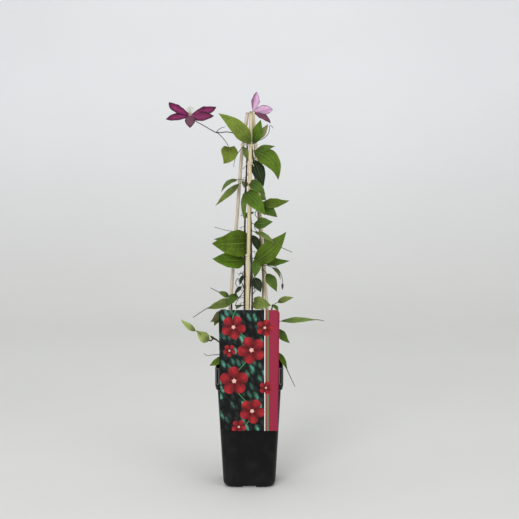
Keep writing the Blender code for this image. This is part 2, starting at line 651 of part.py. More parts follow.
def make_label(surface):
    """The stiff printed plate before the pot, hung on the rim by a tongue on its back."""
    front = -(POT_COLLAR + GAP + LABEL_THICK)
    back = front + LABEL_THICK
    half = LABEL_WIDTH / 2
    outline = [(-LABEL_FOOT / 2, LABEL_LOW), (LABEL_FOOT / 2, LABEL_LOW)]
    for side in (1, -1):
        for step in range(5):
            angle = math.pi / 2 * step / 4
            along = math.cos(angle) if side > 0 else math.sin(angle)
            up = math.sin(angle) if side > 0 else math.cos(angle)
            outline.append((side * (half - LABEL_CORNER + LABEL_CORNER * along),
                            LABEL_HIGH - LABEL_CORNER + LABEL_CORNER * up))
    shape = bmesh.new()
    rims = [[shape.verts.new((x, y, z)) for x, z in outline] for y in (front, back)]
    shape.faces.new(rims[0])
    shape.faces.new(reversed(rims[1]))
    for i in range(len(outline)):
        j = (i + 1) % len(outline)
        shape.faces.new((rims[0][i], rims[0][j], rims[1][j], rims[1][i]))
    plate = finish_mesh("label", shape, surface)
    half = TONGUE_WIDTH / 2
    over = POT_HEIGHT + GAP
    inner = -(POT_COLLAR - POT_WALL) + GAP
    top = block("tongue", (-half, back - 0.4, over), (half, inner + LABEL_THICK, over + LABEL_THICK))
    drop = block("tongue", (-half, inner, TONGUE_LOW),
                 (half, inner + LABEL_THICK, over + LABEL_THICK))
    return boolean(plate, [top, drop], "UNION")


def make_bloom(name, spec, petal_surface, stamen_surface):
    """A bloom of five pointed sepals on a small disc, and the tuft of stamens in its middle."""
    middle = Vector(spec["middle"])
    face = Vector(spec["face"]).normalized()
    turn = face.to_track_quat("Z", "Y").to_matrix().to_4x4()
    low, high, depth = DISC
    shape = bmesh.new()
    bmesh.ops.create_cone(shape, cap_ends=True, segments=8, radius1=low, radius2=high,
                          depth=depth, matrix=Matrix.Translation(middle) @ turn)
    disc = finish_mesh(name, shape, petal_surface)
    petals = []
    for number, (tip, look, width, bow) in enumerate(spec["sepals"]):
        start = middle + (Vector(tip) - middle).normalized() * SEPAL_START
        petal = dict(base=start, tip=tip, face=look, width=width, kind="sepal", arch=0.05,
                     fold=0.10, bow=bow)
        petals.append(blade(f"{name}_sepal_{number}", petal))
    boolean(disc, petals, "UNION")

    low, high, core = STAMEN_CORE
    shape = bmesh.new()
    seat = middle + face * (depth / 2 + BLADE_THICK + GAP + core / 2)
    bmesh.ops.create_cone(shape, cap_ends=True, segments=6, radius1=low, radius2=high,
                          depth=core, matrix=Matrix.Translation(seat) @ turn)
    heart = finish_mesh(name + "_stamens", shape, stamen_surface)
    threads = []
    across = turn.to_3x3() @ Vector((1, 0, 0))
    for number in range(STAMEN_COUNT):
        angle = number * math.pi * (3 - math.sqrt(5))
        lean = STAMEN_SPREAD * math.sqrt((number + 0.5) / STAMEN_COUNT)
        out = Matrix.Rotation(angle, 3, face) @ across
        way = (face + out * lean).normalized()
        start = seat + out * lean * STAMEN_FOOT
        end = seat + way * STAMEN_LENGTH
        middle_way = (start + end) / 2 + out * STAMEN_CURVE
        threads.append(tube("thread", [start, middle_way, end], STAMEN_RADII))
    boolean(heart, threads, "UNION")


def make_bud(surface):
    """The closed nodding bud at the end of its stalk."""
    radius, length = BUD_SIZE
    top = Vector(BUD_TOP)
    rings = []
    for t, share in ((0, 0.35), (0.2, 0.9), (0.5, 1), (0.8, 0.65), (1, 0.2)):
        ring = [top + Vector((radius * share * math.cos(a), radius * share * math.sin(a),
                              -length * t)) for a in (math.pi * k / 4 for k in range(8))]
        rings.append(ring)
    stacked_rings("bud", rings[::-1], surface)


def centre_at(points, height):
    """Where a cane's centre line passes a height."""
    return point_on(smooth_route(points, 40), 2, height)


def main():
    """Builds every piece of the potted plant."""
    for obj in list(bpy.data.objects):
        bpy.data.objects.remove(obj)
    black = material("pot_plastic", (0.012, 0.012, 0.013), 0.35)
    peat = material("peat", (0.045, 0.028, 0.018), 0.95)
    wood = material("cane_wood", (0.72, 0.58, 0.38), 0.6)
    string = material("twine", (0.70, 0.62, 0.45), 0.8)
    card = material("label_plastic", (0.42, 0.05, 0.09), 0.4)
    green = material("leafy_stem", (0.13, 0.27, 0.045), 0.5)
    purple = material("sepal_purple", (0.30, 0.03, 0.16), 0.5)
    lilac = material("sepal_lilac", (0.52, 0.24, 0.42), 0.5)
    cream = material("stamen_cream", (0.75, 0.72, 0.50), 0.6)
    dark = material("bud_dark", (0.10, 0.03, 0.05), 0.6)

    make_pot(black)
    canes = {"cane_front": CANE_FRONT, "cane_left": CANE_LEFT, "cane_right": CANE_RIGHT}
    stems = {
        "vine_left": VINE_LEFT, "vine_right": VINE_RIGHT, "vine_back": VINE_BACK,
        "vine_front": VINE_FRONT, "shoot_left": SHOOT_LEFT, "shoot_left_low": SHOOT_LEFT_LOW,
        "shoot_right": SHOOT_RIGHT, "shoot_right_low": SHOOT_RIGHT_LOW,
        "shoot_back_left": SHOOT_BACK_LEFT, "shoot_back_right": SHOOT_BACK_RIGHT,
    }
    rooted = [(smooth_route(points, 2), (CANE_RADIUS,)) for points in canes.values()]
    for limbs in stems.values():
        rises = limbs[0]["axis"] == 2
        route = smooth_route(limbs[0]["route"], STEM_STEPS if rises else 2)
        rooted.append((route, limbs[0]["radii"]))
    make_soil(peat, rooted)
    for name, points in canes.items():
        make_cane(name, points, wood)
    bundle = [(centre_at(points, TWINE_HEIGHT), CANE_RADIUS) for points in canes.values()]
    make_tie("cane_tie", bundle, TWINE_HEIGHT, TWINE_RADIUS, TWINE_KNOT, string)
    pair = [(centre_at(CANE_FRONT, TIE_HEIGHT), CANE_RADIUS),
            (centre_at(VINE_LEFT[0]["route"], TIE_HEIGHT), TIED_STEM_RADIUS)]
    make_tie("stem_tie", pair, TIE_HEIGHT, WIRE_RADIUS, TIE_KNOT, string)
    make_label(card)
    for name, limbs in stems.items():
        leafy_stem(name, limbs, green)
    make_bloom("bloom_left", BLOOM_LEFT, purple, cream)
    make_bloom("bloom_right", BLOOM_RIGHT, lilac, cream)
    make_bud(dark)


main()
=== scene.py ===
"""A potted clematis on three tied canes: fine leaves, blooms, canes, pot, label, light and camera.

Lengths are in millimetres, apart from the add-on's own properties, which are in metres. x runs to
the right, y to the back and z up, and the origin lies under the middle of the pot.
"""

import math

import bpy
import numpy as np
from bpy.props import FloatProperty, FloatVectorProperty, IntProperty, PointerProperty
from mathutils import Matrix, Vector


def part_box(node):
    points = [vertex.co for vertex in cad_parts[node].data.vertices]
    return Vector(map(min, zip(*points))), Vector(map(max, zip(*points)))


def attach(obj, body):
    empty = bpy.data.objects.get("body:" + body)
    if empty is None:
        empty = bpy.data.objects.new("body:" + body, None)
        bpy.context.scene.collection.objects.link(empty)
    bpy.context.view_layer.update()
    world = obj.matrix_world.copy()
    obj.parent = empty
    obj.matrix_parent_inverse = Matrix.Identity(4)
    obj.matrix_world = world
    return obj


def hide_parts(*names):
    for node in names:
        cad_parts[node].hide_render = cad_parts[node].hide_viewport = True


bl_info = {
    "name": "Potted Clematis",
    "version": (1, 0, 0),
    "blender": (4, 5, 0),
    "location": "3D View > Sidebar > Clematis",
    "description": "Builds a flowering clematis in a nursery pot, piece by piece",
    "category": "Add Mesh",
}

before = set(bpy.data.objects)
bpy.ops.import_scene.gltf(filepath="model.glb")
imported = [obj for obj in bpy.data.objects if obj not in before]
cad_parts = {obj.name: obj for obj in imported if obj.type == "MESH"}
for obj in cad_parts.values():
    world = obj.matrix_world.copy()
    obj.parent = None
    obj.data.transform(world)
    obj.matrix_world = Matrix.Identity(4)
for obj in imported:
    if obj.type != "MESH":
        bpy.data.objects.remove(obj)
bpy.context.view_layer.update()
MM = 0.001


def box_mm(node):
    """The lowest and highest corner of a solid in millimetres."""
    low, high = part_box(node)
    return np.array(low) / MM, np.array(high) / MM


POT_BOX = box_mm("pot")
SOIL_BOX = box_mm("soil")
LABEL_BOX = box_mm("label")
BUD_BOX = box_mm("bud")

# Pot
POT_HEIGHT = POT_BOX[1][2]
POT_COLLAR = POT_BOX[1][0]
POT_FOOT = 45.5
POT_SHOULDER = 55.0
POT_CORNER = 14.0
FOOT_CORNER = 18.0
POT_WALL = 1.5
POT_FLOOR = 4.5
SHOULDER_HEIGHT = 174.0
COLLAR_HEIGHT = 184.0
# The rounded foot and the step under the collar: how far in from the wall, and how far up
FOOT_EDGE = ((6.0, 0.0), (2.0, 2.2), (0.0, 8.0))
STEP_EDGE = (1.4, 2.5)
NOTCH = (20.0, 8.0, 3.0)
DRAIN_RADIUS = 4.0
DRAIN_PLACE = 24.0
# The U-shaped groove on each corner of the collar: half width, and where its round foot starts
GROOVE_HALF = 3.2
GROOVE_LOW = 190.0
GROOVE_SOFT = 0.7
# How strongly the groove lines and the rim's edge are painted pale: a painted highlight where they
# catch the light
GROOVE_HIGHLIGHT = 0.55
RIM_HIGHLIGHT = 0.7

# Soil
SOIL_TOP = 198.0
SOIL_GAP = 0.3
SOIL_SEED = 11
SOIL_CROWN = 1.6
# The bumps on top: for each how high, how long, and its seed
SOIL_BUMPS = ((1.0, 17, 1), (0.7, 6, 2), (0.5, 2.6, 3))
FIBRES = 90
FIBRE_RADIUS = 0.22

# Label
LABEL_FOOT = 99.0
LABEL_THICK = 0.8
LABEL_CORNER = 7.0
LABEL_BACK = ((0.60, 0.60, 0.59), (0.70, 0.70, 0.69))
TONGUE_WIDTH = 30.0
TONGUE_LOW = 202.0
# The print: where its band starts and its stripe runs, the stem's wave length, swing and middle,
# and for each blossom its place and how far its petals reach
PRINTED_BAND = 27.0
PRINTED_STRIPE = PRINTED_BAND + 5.0
PRINTED_STEM = (110.0, 16.0, -12.0)
PRINTED_BLOSSOMS = ((-34, 247, 11), (-18, 113, 13), (-27, 288, 21), (4, 248, 24), (-26, 194, 25),
                    (5, 141, 22), (27, 287, 15), (29, 182, 12))

# Canes, from foot to top, and the heights of their joints
CANE_RADIUS = 3.2
CANE_FRONT = [(-8, -41, 62), (-5.5, -34, 200), (-3, -27, 330), (-0.8, -20, 450), (1.4, -12, 560),
              (3.2, -5, 656)]
CANE_LEFT = [(-44, 31, 62), (-40, 27, 200), (-32, 21, 340), (-21, 14, 480), (-12.6, 7, 586),
             (-2.8, 3.6, 654)]
CANE_RIGHT = [(42, 31, 62), (38, 27, 200), (29, 21, 340), (18.6, 14, 480), (11.2, 7, 586),
              (6.4, 4.8, 655)]
CANE_JOINTS = {"front": (246.0, 497.0), "left": (300.0, 541.0), "right": (270.0, 520.0)}
# Where each cane starts to turn grey, where it is greyest, and how grey it gets
CANE_GREYED = {"front": (650, 656, 0.85), "left": (649, 655, 0.6), "right": (650, 656, 0.0)}
CANE_FLECK = (0.30, 0.20, 0.11)
# Points from each given point of a route to the next, on canes and on stems
CANE_STEPS = 40
STEM_STEPS = 12

# Twine round the three canes, and a small tie on the front one
TWINE_RADIUS = 0.8
TWINE_HEIGHT = 598.5
TWINE_KNOT = (3, -12)
WIRE_RADIUS = 0.6
TIE_HEIGHT = 566.0
TIE_KNOT = (4, -15)
TIED_STEM_RADIUS = 1.4
LOOP_SLACK = 0.65
# Where a cut end of the twine lies from the knot: aside, forwards and down
CUT_END = (4.0, -2.6, -3.0)

# Leaves: the solid's ripple (height, waves along, waves across), and the waves along the edge
RIPPLE = (0.08, 7.0, 2.0)
EDGE_WAVE = (0.055, 3.1)
STALK_RADIUS = 0.8
STALK_END = 0.55
STALK_BEND = 0.45
TAIL_START = 0.8
STEM_RIBS = 0.07
STEM_FLECK = (0.045, 0.026, 0.018)
# How far a stem swells where a leaf grows, and over what length
NODE_SWELL = (0.45, 2.2)
# Small withered tendrils: how many turns they wind, and how wide for their length
CURL_TURNS = 2.3
CURL_WIDTH = 0.2

# Blade outlines: where the blade is widest, how wide its base is, how pointed the tip is, and how
# far the two lobes beside the stalk reach back, all as shares of the blade.
OUTLINES = {
    "ovate": (0.34, 0.20, 1.05, 0.04),
    "heart": (0.24, 0.60, 1.0, 0.13),
    "lance": (0.36, 0.14, 1.20, 0.0),
    "sepal": (0.50, 0.22, 0.80, 0.0),
}
# Places across half a blade, from the midrib to the edge, closer together beside the veins
HALF_COLUMNS = (0, 0.02, 0.05, 0.1, 0.2, 0.32, 0.39, 0.42, 0.45, 0.52, 0.64, 0.78, 0.9, 0.97, 1)
SIDE_VEIN = 0.42


def leaf(node, base, tip, face, width, kind="ovate", tone="mid", arch=0.08, fold=0.12, bow=0.0,
         via=None, tail=None):
    """One leaf: the height or side place where its stalk leaves the stem, and its blade."""
    return dict(node=node, base=base, tip=tip, face=face, width=width, kind=kind, tone=tone,
                arch=arch, fold=fold, bow=bow, via=via, tail=tail)


# Each limb: its route, its thickness at both ends, its leaves, and the axis their nodes count on.
VINE_LEFT = [
    dict(route=[(-12, -4, 152), (-12, -5, 200), (-9, -7, 290), (-8, -8, 370), (-8, -5, 440),
                (-6.5, -3, 510), (-4.5, -1, 560), (-3.5, -1, 598), (-4.5, -3, 606)],
         radii=(1.8, 1.2), axis=2, skin="old", curls=[
        (386, (-9, -4, 5)), (379, (-12, -5, -4)), (368, (-8, -6, 6)), (362, (-13, -5, -2)),
        (354, (-10, -7, -5)), (347, (-15, -6, 3)), (340, (-9, -6, -7)), (333, (-13, -6, 2)),
        (326, (-8, -6, -5)), (470, (-7, -3, 8)), (456, (-8, -4, -5)), (590, (-5, -3, -9)),
        (577, (5, -2, -9)), (565, (-6, -2, -8)), (552, (5, -3, -8)), (543, (-6, -3, -8)),
    ], leaves=[
        leaf(604, (1.5, -18.5, 601.5), (-53, -27, 653), (0.05, -0.95, 0.35), 28, tone="fresh",
             arch=0.05, bow=0.05, via=(-7, -13, 604)),
        leaf(588, (-10, -4, 595), (-2, -3.5, 571), (0.1, -0.95, 0.2), 10.5, tone="olive",
             via=(-7, -2.5, 591)),
        leaf(536, (-20, 0, 538), (-49, -10, 516), (-0.2, -0.6, 0.8), 13, "lance", "dull",
             arch=0.20),
        leaf(531, (-17, -6, 531), (-59, -22, 493), (0.1, -0.75, 0.6), 13, "lance", "dull",
             arch=0.05),
        leaf(520, (-8, -9, 517), (-8, -18, 467), (-0.3, -0.9, 0.1), 11, "lance", "dull"),
        leaf(438, (-6.5, -13, 429), (-64, -45, 431), (-0.3, -0.95, 0.1), 47, "heart", "mid",
             arch=0.06, bow=-0.02),
        leaf(444, (-18, -2, 438), (-62, -12, 435), (-0.1, -0.6, 0.8), 17, tone="dark", arch=0,
             bow=-0.05),
        leaf(402, (-8.5, -12, 398), (-64, -32, 403), (-0.1, -0.85, 0.5), 34, tone="mid", arch=0.04,
             bow=-0.04),
        leaf(372, (-11, -12, 372), (-17, -15, 354), (-0.3, -0.9, 0.2), 7, "lance", "shade"),
        leaf(350, (-14, -12, 352), (-26, -15, 338), (-0.2, -0.8, 0.5), 8, tone="shade"),
    ]),
    dict(route=[(-4.5, -3, 604), (-12, -4, 611), (-25, -8, 618), (-38, -13, 621), (-55, -18, 620),
                (-66, -20, 625), (-78, -20, 632), (-94, -19.5, 641), (-99.6, -18.9, 645.8),
                (-101, -19.1, 648.25)],
         radii=(1.0, 0.8), axis=0, dark=True, leaves=[
        leaf(-55, (-34, -20, 593.5), (-44, -28, 567), (0.1, -0.98, 0.15), 29, "heart", "yellow",
             bow=-0.10, via=(-42, -20, 610)),
    ]),
    dict(route=[(-57, -18.5, 620.5), (-50, -17, 627), (-41, -12, 630)], radii=(0.7, 0.5), dark=True),
    dict(route=[(-8, -5, 446), (-20, -1, 447), (-40, -6, 450), (-60, -12, 456)], radii=(0.7, 0.5),
         dark=True),
    dict(route=[(-3.8, -1, 588), (-10, -3, 595), (-16, -5, 589), (-21.5, -8, 581),
                (-25.5, -9, 571), (-27, -9, 560)], radii=(0.7, 0.5), dark=True),
    dict(route=[(-8.5, -7, 345), (-13, -11, 358), (-20, -12, 366), (-24, -12, 357),
                (-19, -14, 350), (-22, -13, 343)], radii=(0.9, 0.6), dark=True),
    dict(route=[(-8, -8, 362), (-12, -12, 374), (-9, -15, 380)], radii=(0.8, 0.6), dark=True),
    dict(route=[(-8.8, -7.6, 345), (-15, -11, 336), (-21, -14, 327), (-25, -15, 318)],
         radii=(0.8, 0.6), dark=True),
]

VINE_RIGHT = [
    dict(route=[(18, 4, 152), (18, 3, 200), (22, 5, 290), (24, 8, 350), (22, 6, 400), (17, 3, 460),
                (12, 1, 520), (7, 1, 570), (4, 1.5, 600), (5, 2, 610)],
         radii=(1.7, 1.2), axis=2, skin="tan", leaves=[
        leaf(602, (8, -1, 601.5), (20, -2, 642), (0.15, -0.98, 0.05), 20, tone="mid", arch=0.02,
             fold=0.05),
        leaf(608, (19, 0, 609), (33, 6, 634), (-0.35, -0.9, 0.3), 13, tone="tan",
             via=(13, -1.5, 610)),
        leaf(590, (12.5, -5, 589.5), (45, -8, 596.5), (0, -0.8, 0.6), 14, tone="dark", arch=0),
        leaf(582, (9, -7, 587), (50, -29, 539), (0.35, -0.9, 0.3), 33, tone="mid", arch=0.08,
             bow=-0.15),
        leaf(576, (8.5, -3, 571), (25, -5, 526), (0.3, -0.95, 0.1), 24, tone="shade", arch=0.04),
        leaf(500, (21, -2, 497), (70, -4, 502), (-0.05, -0.7, 0.7), 22, tone="mid", arch=0.02,
             bow=0.09),
        leaf(494, (22, -4, 492), (49, -10, 473), (0.2, -0.9, 0.4), 20, tone="dark"),
        leaf(396, (27, -2, 392), (71, -6, 396.5), (0, -0.6, 0.8), 18, tone="mid", arch=0, bow=0.03),
        leaf(388, (39, -3, 385), (54.5, -10, 363), (0.6, -0.6, 0.5), 9, "lance", "dull", arch=0.18),
        leaf(378, (31, -4, 373), (48, -15, 343), (0.2, -0.9, 0.35), 19, tone="dark"),
    ]),
    dict(route=[(14.8, 2.2, 488), (10, -3, 478), (15, -5, 469), (9, -4, 457), (13, -1, 447)],
         radii=(0.8, 0.6), dark=True),
    dict(route=[(4.2, 1.4, 603), (11, -1, 605), (16, 1, 606), (24.5, 4, 609), (32.5, 7, 617),
                (35, 8, 624), (35.5, 8, 630), (38, 8, 631.5), (41.5, 8, 627)], radii=(0.8, 0.6),
         dark=True),
    dict(route=[(22.5, 6.5, 392), (42, -4, 388), (53, -9, 378), (57.5, -10, 366), (58, -10, 357.8)],
         radii=(0.8, 0.6), dark=True),
]

VINE_BACK = [
    dict(route=[(0, 20, 152), (0, 20, 200), (-2, 24, 290), (3, 25, 380), (2, 22, 460),
                (2, 18, 530), (2, 15, 590), (4, 14, 625), (4.6, 12.9, 648), (5.2, 12.6, 654.7)],
         radii=(1.7, 1.0), axis=2, leaves=[
        leaf(578, (10, 24, 575), (36, 44, 560), (0.1, 0.6, 0.8), 24),
        leaf(508, (8, 27, 506), (30, 52, 498), (-0.3, 0.6, 0.8), 24, tone="fresh"),
        leaf(482, (1, 32, 478), (-4, 64, 464), (-0.2, 0.4, 0.9), 20),
        leaf(432, (12, 31, 426), (48, 48, 420), (0.1, 0.7, 0.7), 26, tone="fresh"),
        leaf(432, (-8, 32, 430), (-50, 50, 428), (-0.1, 0.8, 0.5), 26, tone="dark"),
        leaf(394, (14, 33, 392), (52, 48, 392), (0.2, 0.8, 0.5), 24),
        leaf(400, (-8, 34, 400), (-44, 48, 402), (-0.2, 0.8, 0.6), 22, tone="fresh"),
        leaf(350, (4, 34, 348), (10, 66, 338), (0.3, 0.3, 0.9), 24),
        leaf(534, (-2, 28, 531), (-10, 58, 520), (0.2, 0.3, 0.9), 20, tone="yellow"),
        leaf(312, (-6, 33, 312), (-24, 62, 300), (-0.3, 0.5, 0.8), 22, tone="olive"),
        leaf(300, (10, 34, 300), (36, 60, 292), (0.2, 0.6, 0.8), 22, tone="mid"),
    ]),
]

VINE_FRONT = [
    dict(route=[(6, -15, 152), (6, -16, 200), (5, -17, 300), (5, -15, 350), (4, -12, 400),
                (3, -9, 460), (1, -7, 500), (0, -5.5, 530)],
         radii=(1.7, 1.1), axis=2, curls=[
        (432, (9, -4, -6)), (424, (8, -3, 5)), (415, (10, -4, -3)), (362, (7, -5, 6)),
        (352, (9, -5, -4)),
    ], leaves=[
        leaf(528, (3.5, -18.5, 533.5), (28, -17, 513), (0.1, -0.85, 0.5), 20, "heart", "dark",
             via=(8, -13, 531)),
        leaf(518, (-3, -23, 516), (28, -38, 479), (0.15, -0.95, 0.3), 27, "heart", "mid",
             via=(-6, -13, 518)),
        leaf(466, (9, -16, 462), (41, -26, 467), (0, -0.8, 0.6), 23, tone="dark", arch=0.04,
             bow=0.05),
        leaf(452, (8, -17, 449), (46, -37, 428), (0.3, -0.6, 0.75), 13, "lance", "olive",
             tail=(74, -38, 415)),
        leaf(436, (7, -8.5, 441), (17, -8, 412), (0.3, -0.9, 0.1), 14, tone="shade"),
        leaf(402, (14, -18.5, 402), (9, -26, 369), (0.1, -0.97, 0.1), 17, tone="dark"),
        leaf(390, (9, -16.5, 396), (64, -30, 450), (-0.2, -0.95, 0.2), 33, tone="mid", arch=0.06,
             bow=0.07, via=(6.5, -15, 391)),
        leaf(370, (8, -12, 367), (20.5, -15, 342), (0.2, -0.9, 0.3), 18, tone="shade"),
        leaf(318, (9, -17, 325), (38, -24, 320), (0, -0.95, 0.25), 23, "heart", "olive"),
    ]),
    dict(route=[(5, -16, 338), (10, -19, 346), (7, -22, 356), (12, -20, 362)], radii=(0.8, 0.6),
         dark=True),
]

SHOOT_LEFT = [
    dict(route=[(-24, -6, 152), (-24, -6, 200), (-28, -5, 260), (-31, -4, 315), (-31, -4, 330)],
         radii=(1.5, 1.1), axis=2, leaves=[
        leaf(329, (-36, -4, 333.5), (-54.5, -11, 342.5), (-0.1, -0.8, 0.6), 12, "ovate", "dull",
             arch=0, tail=(-68, -14, 350)),
        leaf(324, (-30, -12, 329), (-74, -24, 315), (0, -0.75, 0.6), 19, "ovate", "dull", arch=0,
             bow=-0.04, tail=(-98, -30, 300)),
        leaf(327, (-23, -9, 338), (-37, -22, 319), (-0.2, -0.85, 0.4), 17, tone="dark"),
        leaf(300, (-47, -34, 315), (-67.5, -46, 294.5), (-0.4, -0.85, 0.3), 15, tone="brown",
             bow=-0.15, via=(-40, -22, 315)),
        leaf(285, (-48, -31, 307), (-61, -39, 286.5), (-0.3, -0.9, 0.2), 13, tone="dark",
             via=(-38, -20, 300)),
    ]),
]

SHOOT_LEFT_LOW = [
    dict(route=[(-30, -24, 160), (-31, -25, 200), (-39, -28, 232), (-49, -29, 252), (-61, -30, 263),
                (-68, -31, 259), (-80, -34, 268), (-91, -37, 277)],
         radii=(1.3, 0.8), axis=0, leaves=[
        leaf(-61, (-70, -32, 260.5), (-91, -37, 278.5), (-0.1, -0.9, 0.4), 19, "ovate", "pale",
             arch=0.02, bow=-0.06, via=(-67, -31, 260)),
        leaf(-86, (-93, -38, 278), (-119, -43, 299), (0.2, -0.8, 0.5), 12, "lance", "pale",
             bow=-0.07),
        leaf(-56, (-61, -32, 262), (-69, -38, 270), (-0.3, -0.8, 0.5), 5, "lance", "brown"),
        leaf(-37, (-49, -38, 229), (-69, -45, 218), (-0.1, -0.9, 0.4), 12, "ovate", "mid", arch=0,
             bow=-0.04),
    ]),
    dict(route=[(-39.5, -28, 233), (-57, -28, 234), (-70, -29, 233), (-75, -29, 233),
                (-79, -30, 237)], radii=(0.7, 0.5), dark=True),
]

SHOOT_RIGHT = [
    dict(route=[(30, -2, 152), (30, -2, 200), (34, 0, 255), (38, 2, 300), (41, 2, 318)],
         radii=(1.5, 1.0), axis=2, leaves=[
        leaf(315, (50, 3, 322), (78, 0, 331), (0, -0.8, 0.6), 12, "ovate", "olive"),
        leaf(308, (43, -5, 318), (51, -12, 308), (0.3, -0.8, 0.4), 8, "ovate", "mid"),
        leaf(284, (55, -8, 290), (121, -18, 294), (0, -0.7, 0.7), 12, "lance", "olive", arch=0.02,
             tail=(131, -20, 292)),
    ]),
]

SHOOT_RIGHT_LOW = [
    dict(route=[(36, -24, 160), (36, -25, 200), (42, -24, 240), (46, -22, 275)],
         radii=(1.3, 0.9), axis=2, leaves=[
        leaf(270, (50, -22, 279), (71, -30, 255), (0.3, -0.9, 0.4), 16, tone="dark", bow=0.11),
        leaf(238, (48, -25, 239), (67, -27, 205), (0.5, -0.8, 0.3), 11, "lance", "mid", arch=0.08,
             tail=(80, -28, 177)),
    ]),
]

SHOOT_BACK_LEFT = [
    dict(route=[(-14, 34, 160), (-14, 35, 200), (-18, 40, 250), (-22, 44, 288)],
         radii=(1.3, 0.9), axis=2, leaves=[
        leaf(284, (-26, 50, 292), (-44, 76, 280), (-0.3, 0.5, 0.8), 20, tone="fresh"),
        leaf(250, (-10, 51, 256), (0, 80, 246), (0.3, 0.3, 0.9), 20),
        leaf(226, (-25, 52, 238), (-44, 80, 224), (-0.3, 0.5, 0.8), 18, tone="olive"),
    ]),
]

SHOOT_BACK_RIGHT = [
    dict(route=[(16, 36, 160), (16, 37, 200), (20, 42, 250), (24, 46, 280)],
         radii=(1.3, 0.9), axis=2, leaves=[
        leaf(276, (29, 52, 284), (48, 76, 272), (0.3, 0.5, 0.8), 20, tone="fresh"),
        leaf(240, (28, 53, 246), (44, 80, 232), (0.3, 0.4, 0.9), 18),
    ]),
]

STEMS = {
    "vine_left": VINE_LEFT, "vine_right": VINE_RIGHT, "vine_back": VINE_BACK,
    "vine_front": VINE_FRONT, "shoot_left": SHOOT_LEFT, "shoot_left_low": SHOOT_LEFT_LOW,
    "shoot_right": SHOOT_RIGHT, "shoot_right_low": SHOOT_RIGHT_LOW,
    "shoot_back_left": SHOOT_BACK_LEFT, "shoot_back_right": SHOOT_BACK_RIGHT,
}

# Blooms: the middle, the way the open face looks, and for each sepal its tip, face, width, bow,
# how far its face is greyed by a painted sheen, and the side on which its back shows a dark strip
BLOOM_LEFT = dict(
    middle=(-101, -20, 650), face=(0, -0.45, 0.9), sepals=[
        ((-138, -8, 672), (0.1, -0.7, 0.7), 19, -0.14, 0.0, 0),
        ((-142, -32, 643), (-0.1, -0.8, 0.6), 16.5, -0.02, 0.1, 0),
        ((-100, -54, 629), (0, -0.75, 0.65), 18, 0, 0.9, 0),
        ((-60, -38, 649), (0.1, -0.8, 0.6), 21, 0.1, 0.15, 0),
        ((-57, -8, 664), (0, -0.75, 0.65), 20, 0.09, 0.0, 0),
    ])
BLOOM_RIGHT = dict(
    middle=(7, 14, 655.5), face=(0.75, 0.6, 0.3), sepals=[
        ((13.5, 10, 690), (0.65, 0.75, -0.1), 18, 0.05, 0.0, 1),
        ((41, 4, 659.5), (0, 0.9, 0.3), 18, 0, 0.0, 0),
        ((37, -8, 636), (0.25, -0.55, 0.8), 16, 0, 0.75, 0),
        ((7.5, 49, 673), (0.97, 0, -0.1), 16, 0, 0.0, 0),
        ((5.5, 45, 640), (0.97, 0, 0.1), 15, 0, 0.0, 0),
    ])
SEPAL_START = 2.0
SEPAL_THICK = 0.45
# The disc that the sepals grow from: its radius, its depth, and its green
DISC_RADIUS = 2.2
DISC_DEPTH = 2.4
DISC_GREEN = (0.2, 0.24, 0.08)
STAMEN_LENGTH = 14.0
STAMEN_RADIUS = 0.16
GOLDEN_ANGLE = math.pi * (3 - math.sqrt(5))

# Bud: its seed, how many hairs it has, and the colours of its tip, its cap and its down
BUD_SEED = 5
BUD_HAIRS = 160
BUD_TIP = (0.16, 0.06, 0.09)
BUD_CAP = (0.10, 0.10, 0.05)
BUD_DOWN = (0.42, 0.34, 0.34)

# Stage, in metres: half the floor's width, where it starts, where it bends up, how widely, and how
# high the backdrop goes
FLOOR_HALF = 6.0
FLOOR_FRONT = -5.0
FLOOR_BEND = 1.6
FLOOR_CURVE = 1.4
BACKDROP_TOP = 6.0
SENSOR = 36
# For each light the property with its power, its size, its place and the point that it shines on
LIGHTS = {
    "front_light": ("key_power", 1.3, (-0.9, -2.9, 1.45), (0, 0, 0.3)),
    "right_light": ("fill_power", 1.8, (1.9, -2.2, 1.8), (0, 0, 0.35)),
    "top_light": ("top_power", 2.0, (0.0, -0.7, 3.0), (0, 0, 0)),
    "backdrop_light": ("backdrop_power", 2.6, (0.0, 1.3, 2.6), (0, 3.0, 0.5)),
}


def shade(name, about, value):
    """A colour that the add-on shows, with what it colours."""
    return FloatVectorProperty(name=name, description=about, subtype="COLOR", size=3, min=0, max=1,
                               default=value)


def length(name, about, value, most):
    """A length in metres that the add-on shows."""
    return FloatProperty(name=name, description=about, unit="LENGTH", min=0, max=most,
                         default=value)


def power(name, about, value):
    """A light's power in watts that the add-on shows."""
    return FloatProperty(name=name, description=about, unit="POWER", min=0, max=500,
                         default=value)


class PotLook(bpy.types.PropertyGroup):
    """Sizes and colours of the pot."""

    plastic: shade("Plastic", "Colour of the pot's plastic", (0.0036, 0.0036, 0.0044))
    dust: shade("Dust", "Colour of the dry dust and scuffs on the plastic", (0.022, 0.021, 0.021))
    # The edges' colour is a painted highlight on the rim's edge and the groove lines.
    line: shade("Edge highlight", "Colour of the worn edges and groove lines", (0.30, 0.29, 0.28))
    groove_depth: length("Groove depth", "Depth of the grooves in the collar", 0.0006, 0.001)
    edge_round: length("Edge rounding", "How widely the wall's steps are rounded", 0.0018, 0.004)


class SoilLook(bpy.types.PropertyGroup):
    """Sizes and colours of the peat."""

    peat: shade("Peat", "Colour of the moist peat", (0.040, 0.024, 0.015))
    fibre: shade("Fibre", "Colour of the dry fibres and crumbs", (0.16, 0.095, 0.05))
    crumbs: IntProperty(name="Crumbs", description="Number of loose crumbs", min=0, max=2000,
                        default=620)
    crumb_size: length("Crumb size", "Radius of a middling crumb", 0.0013, 0.004)


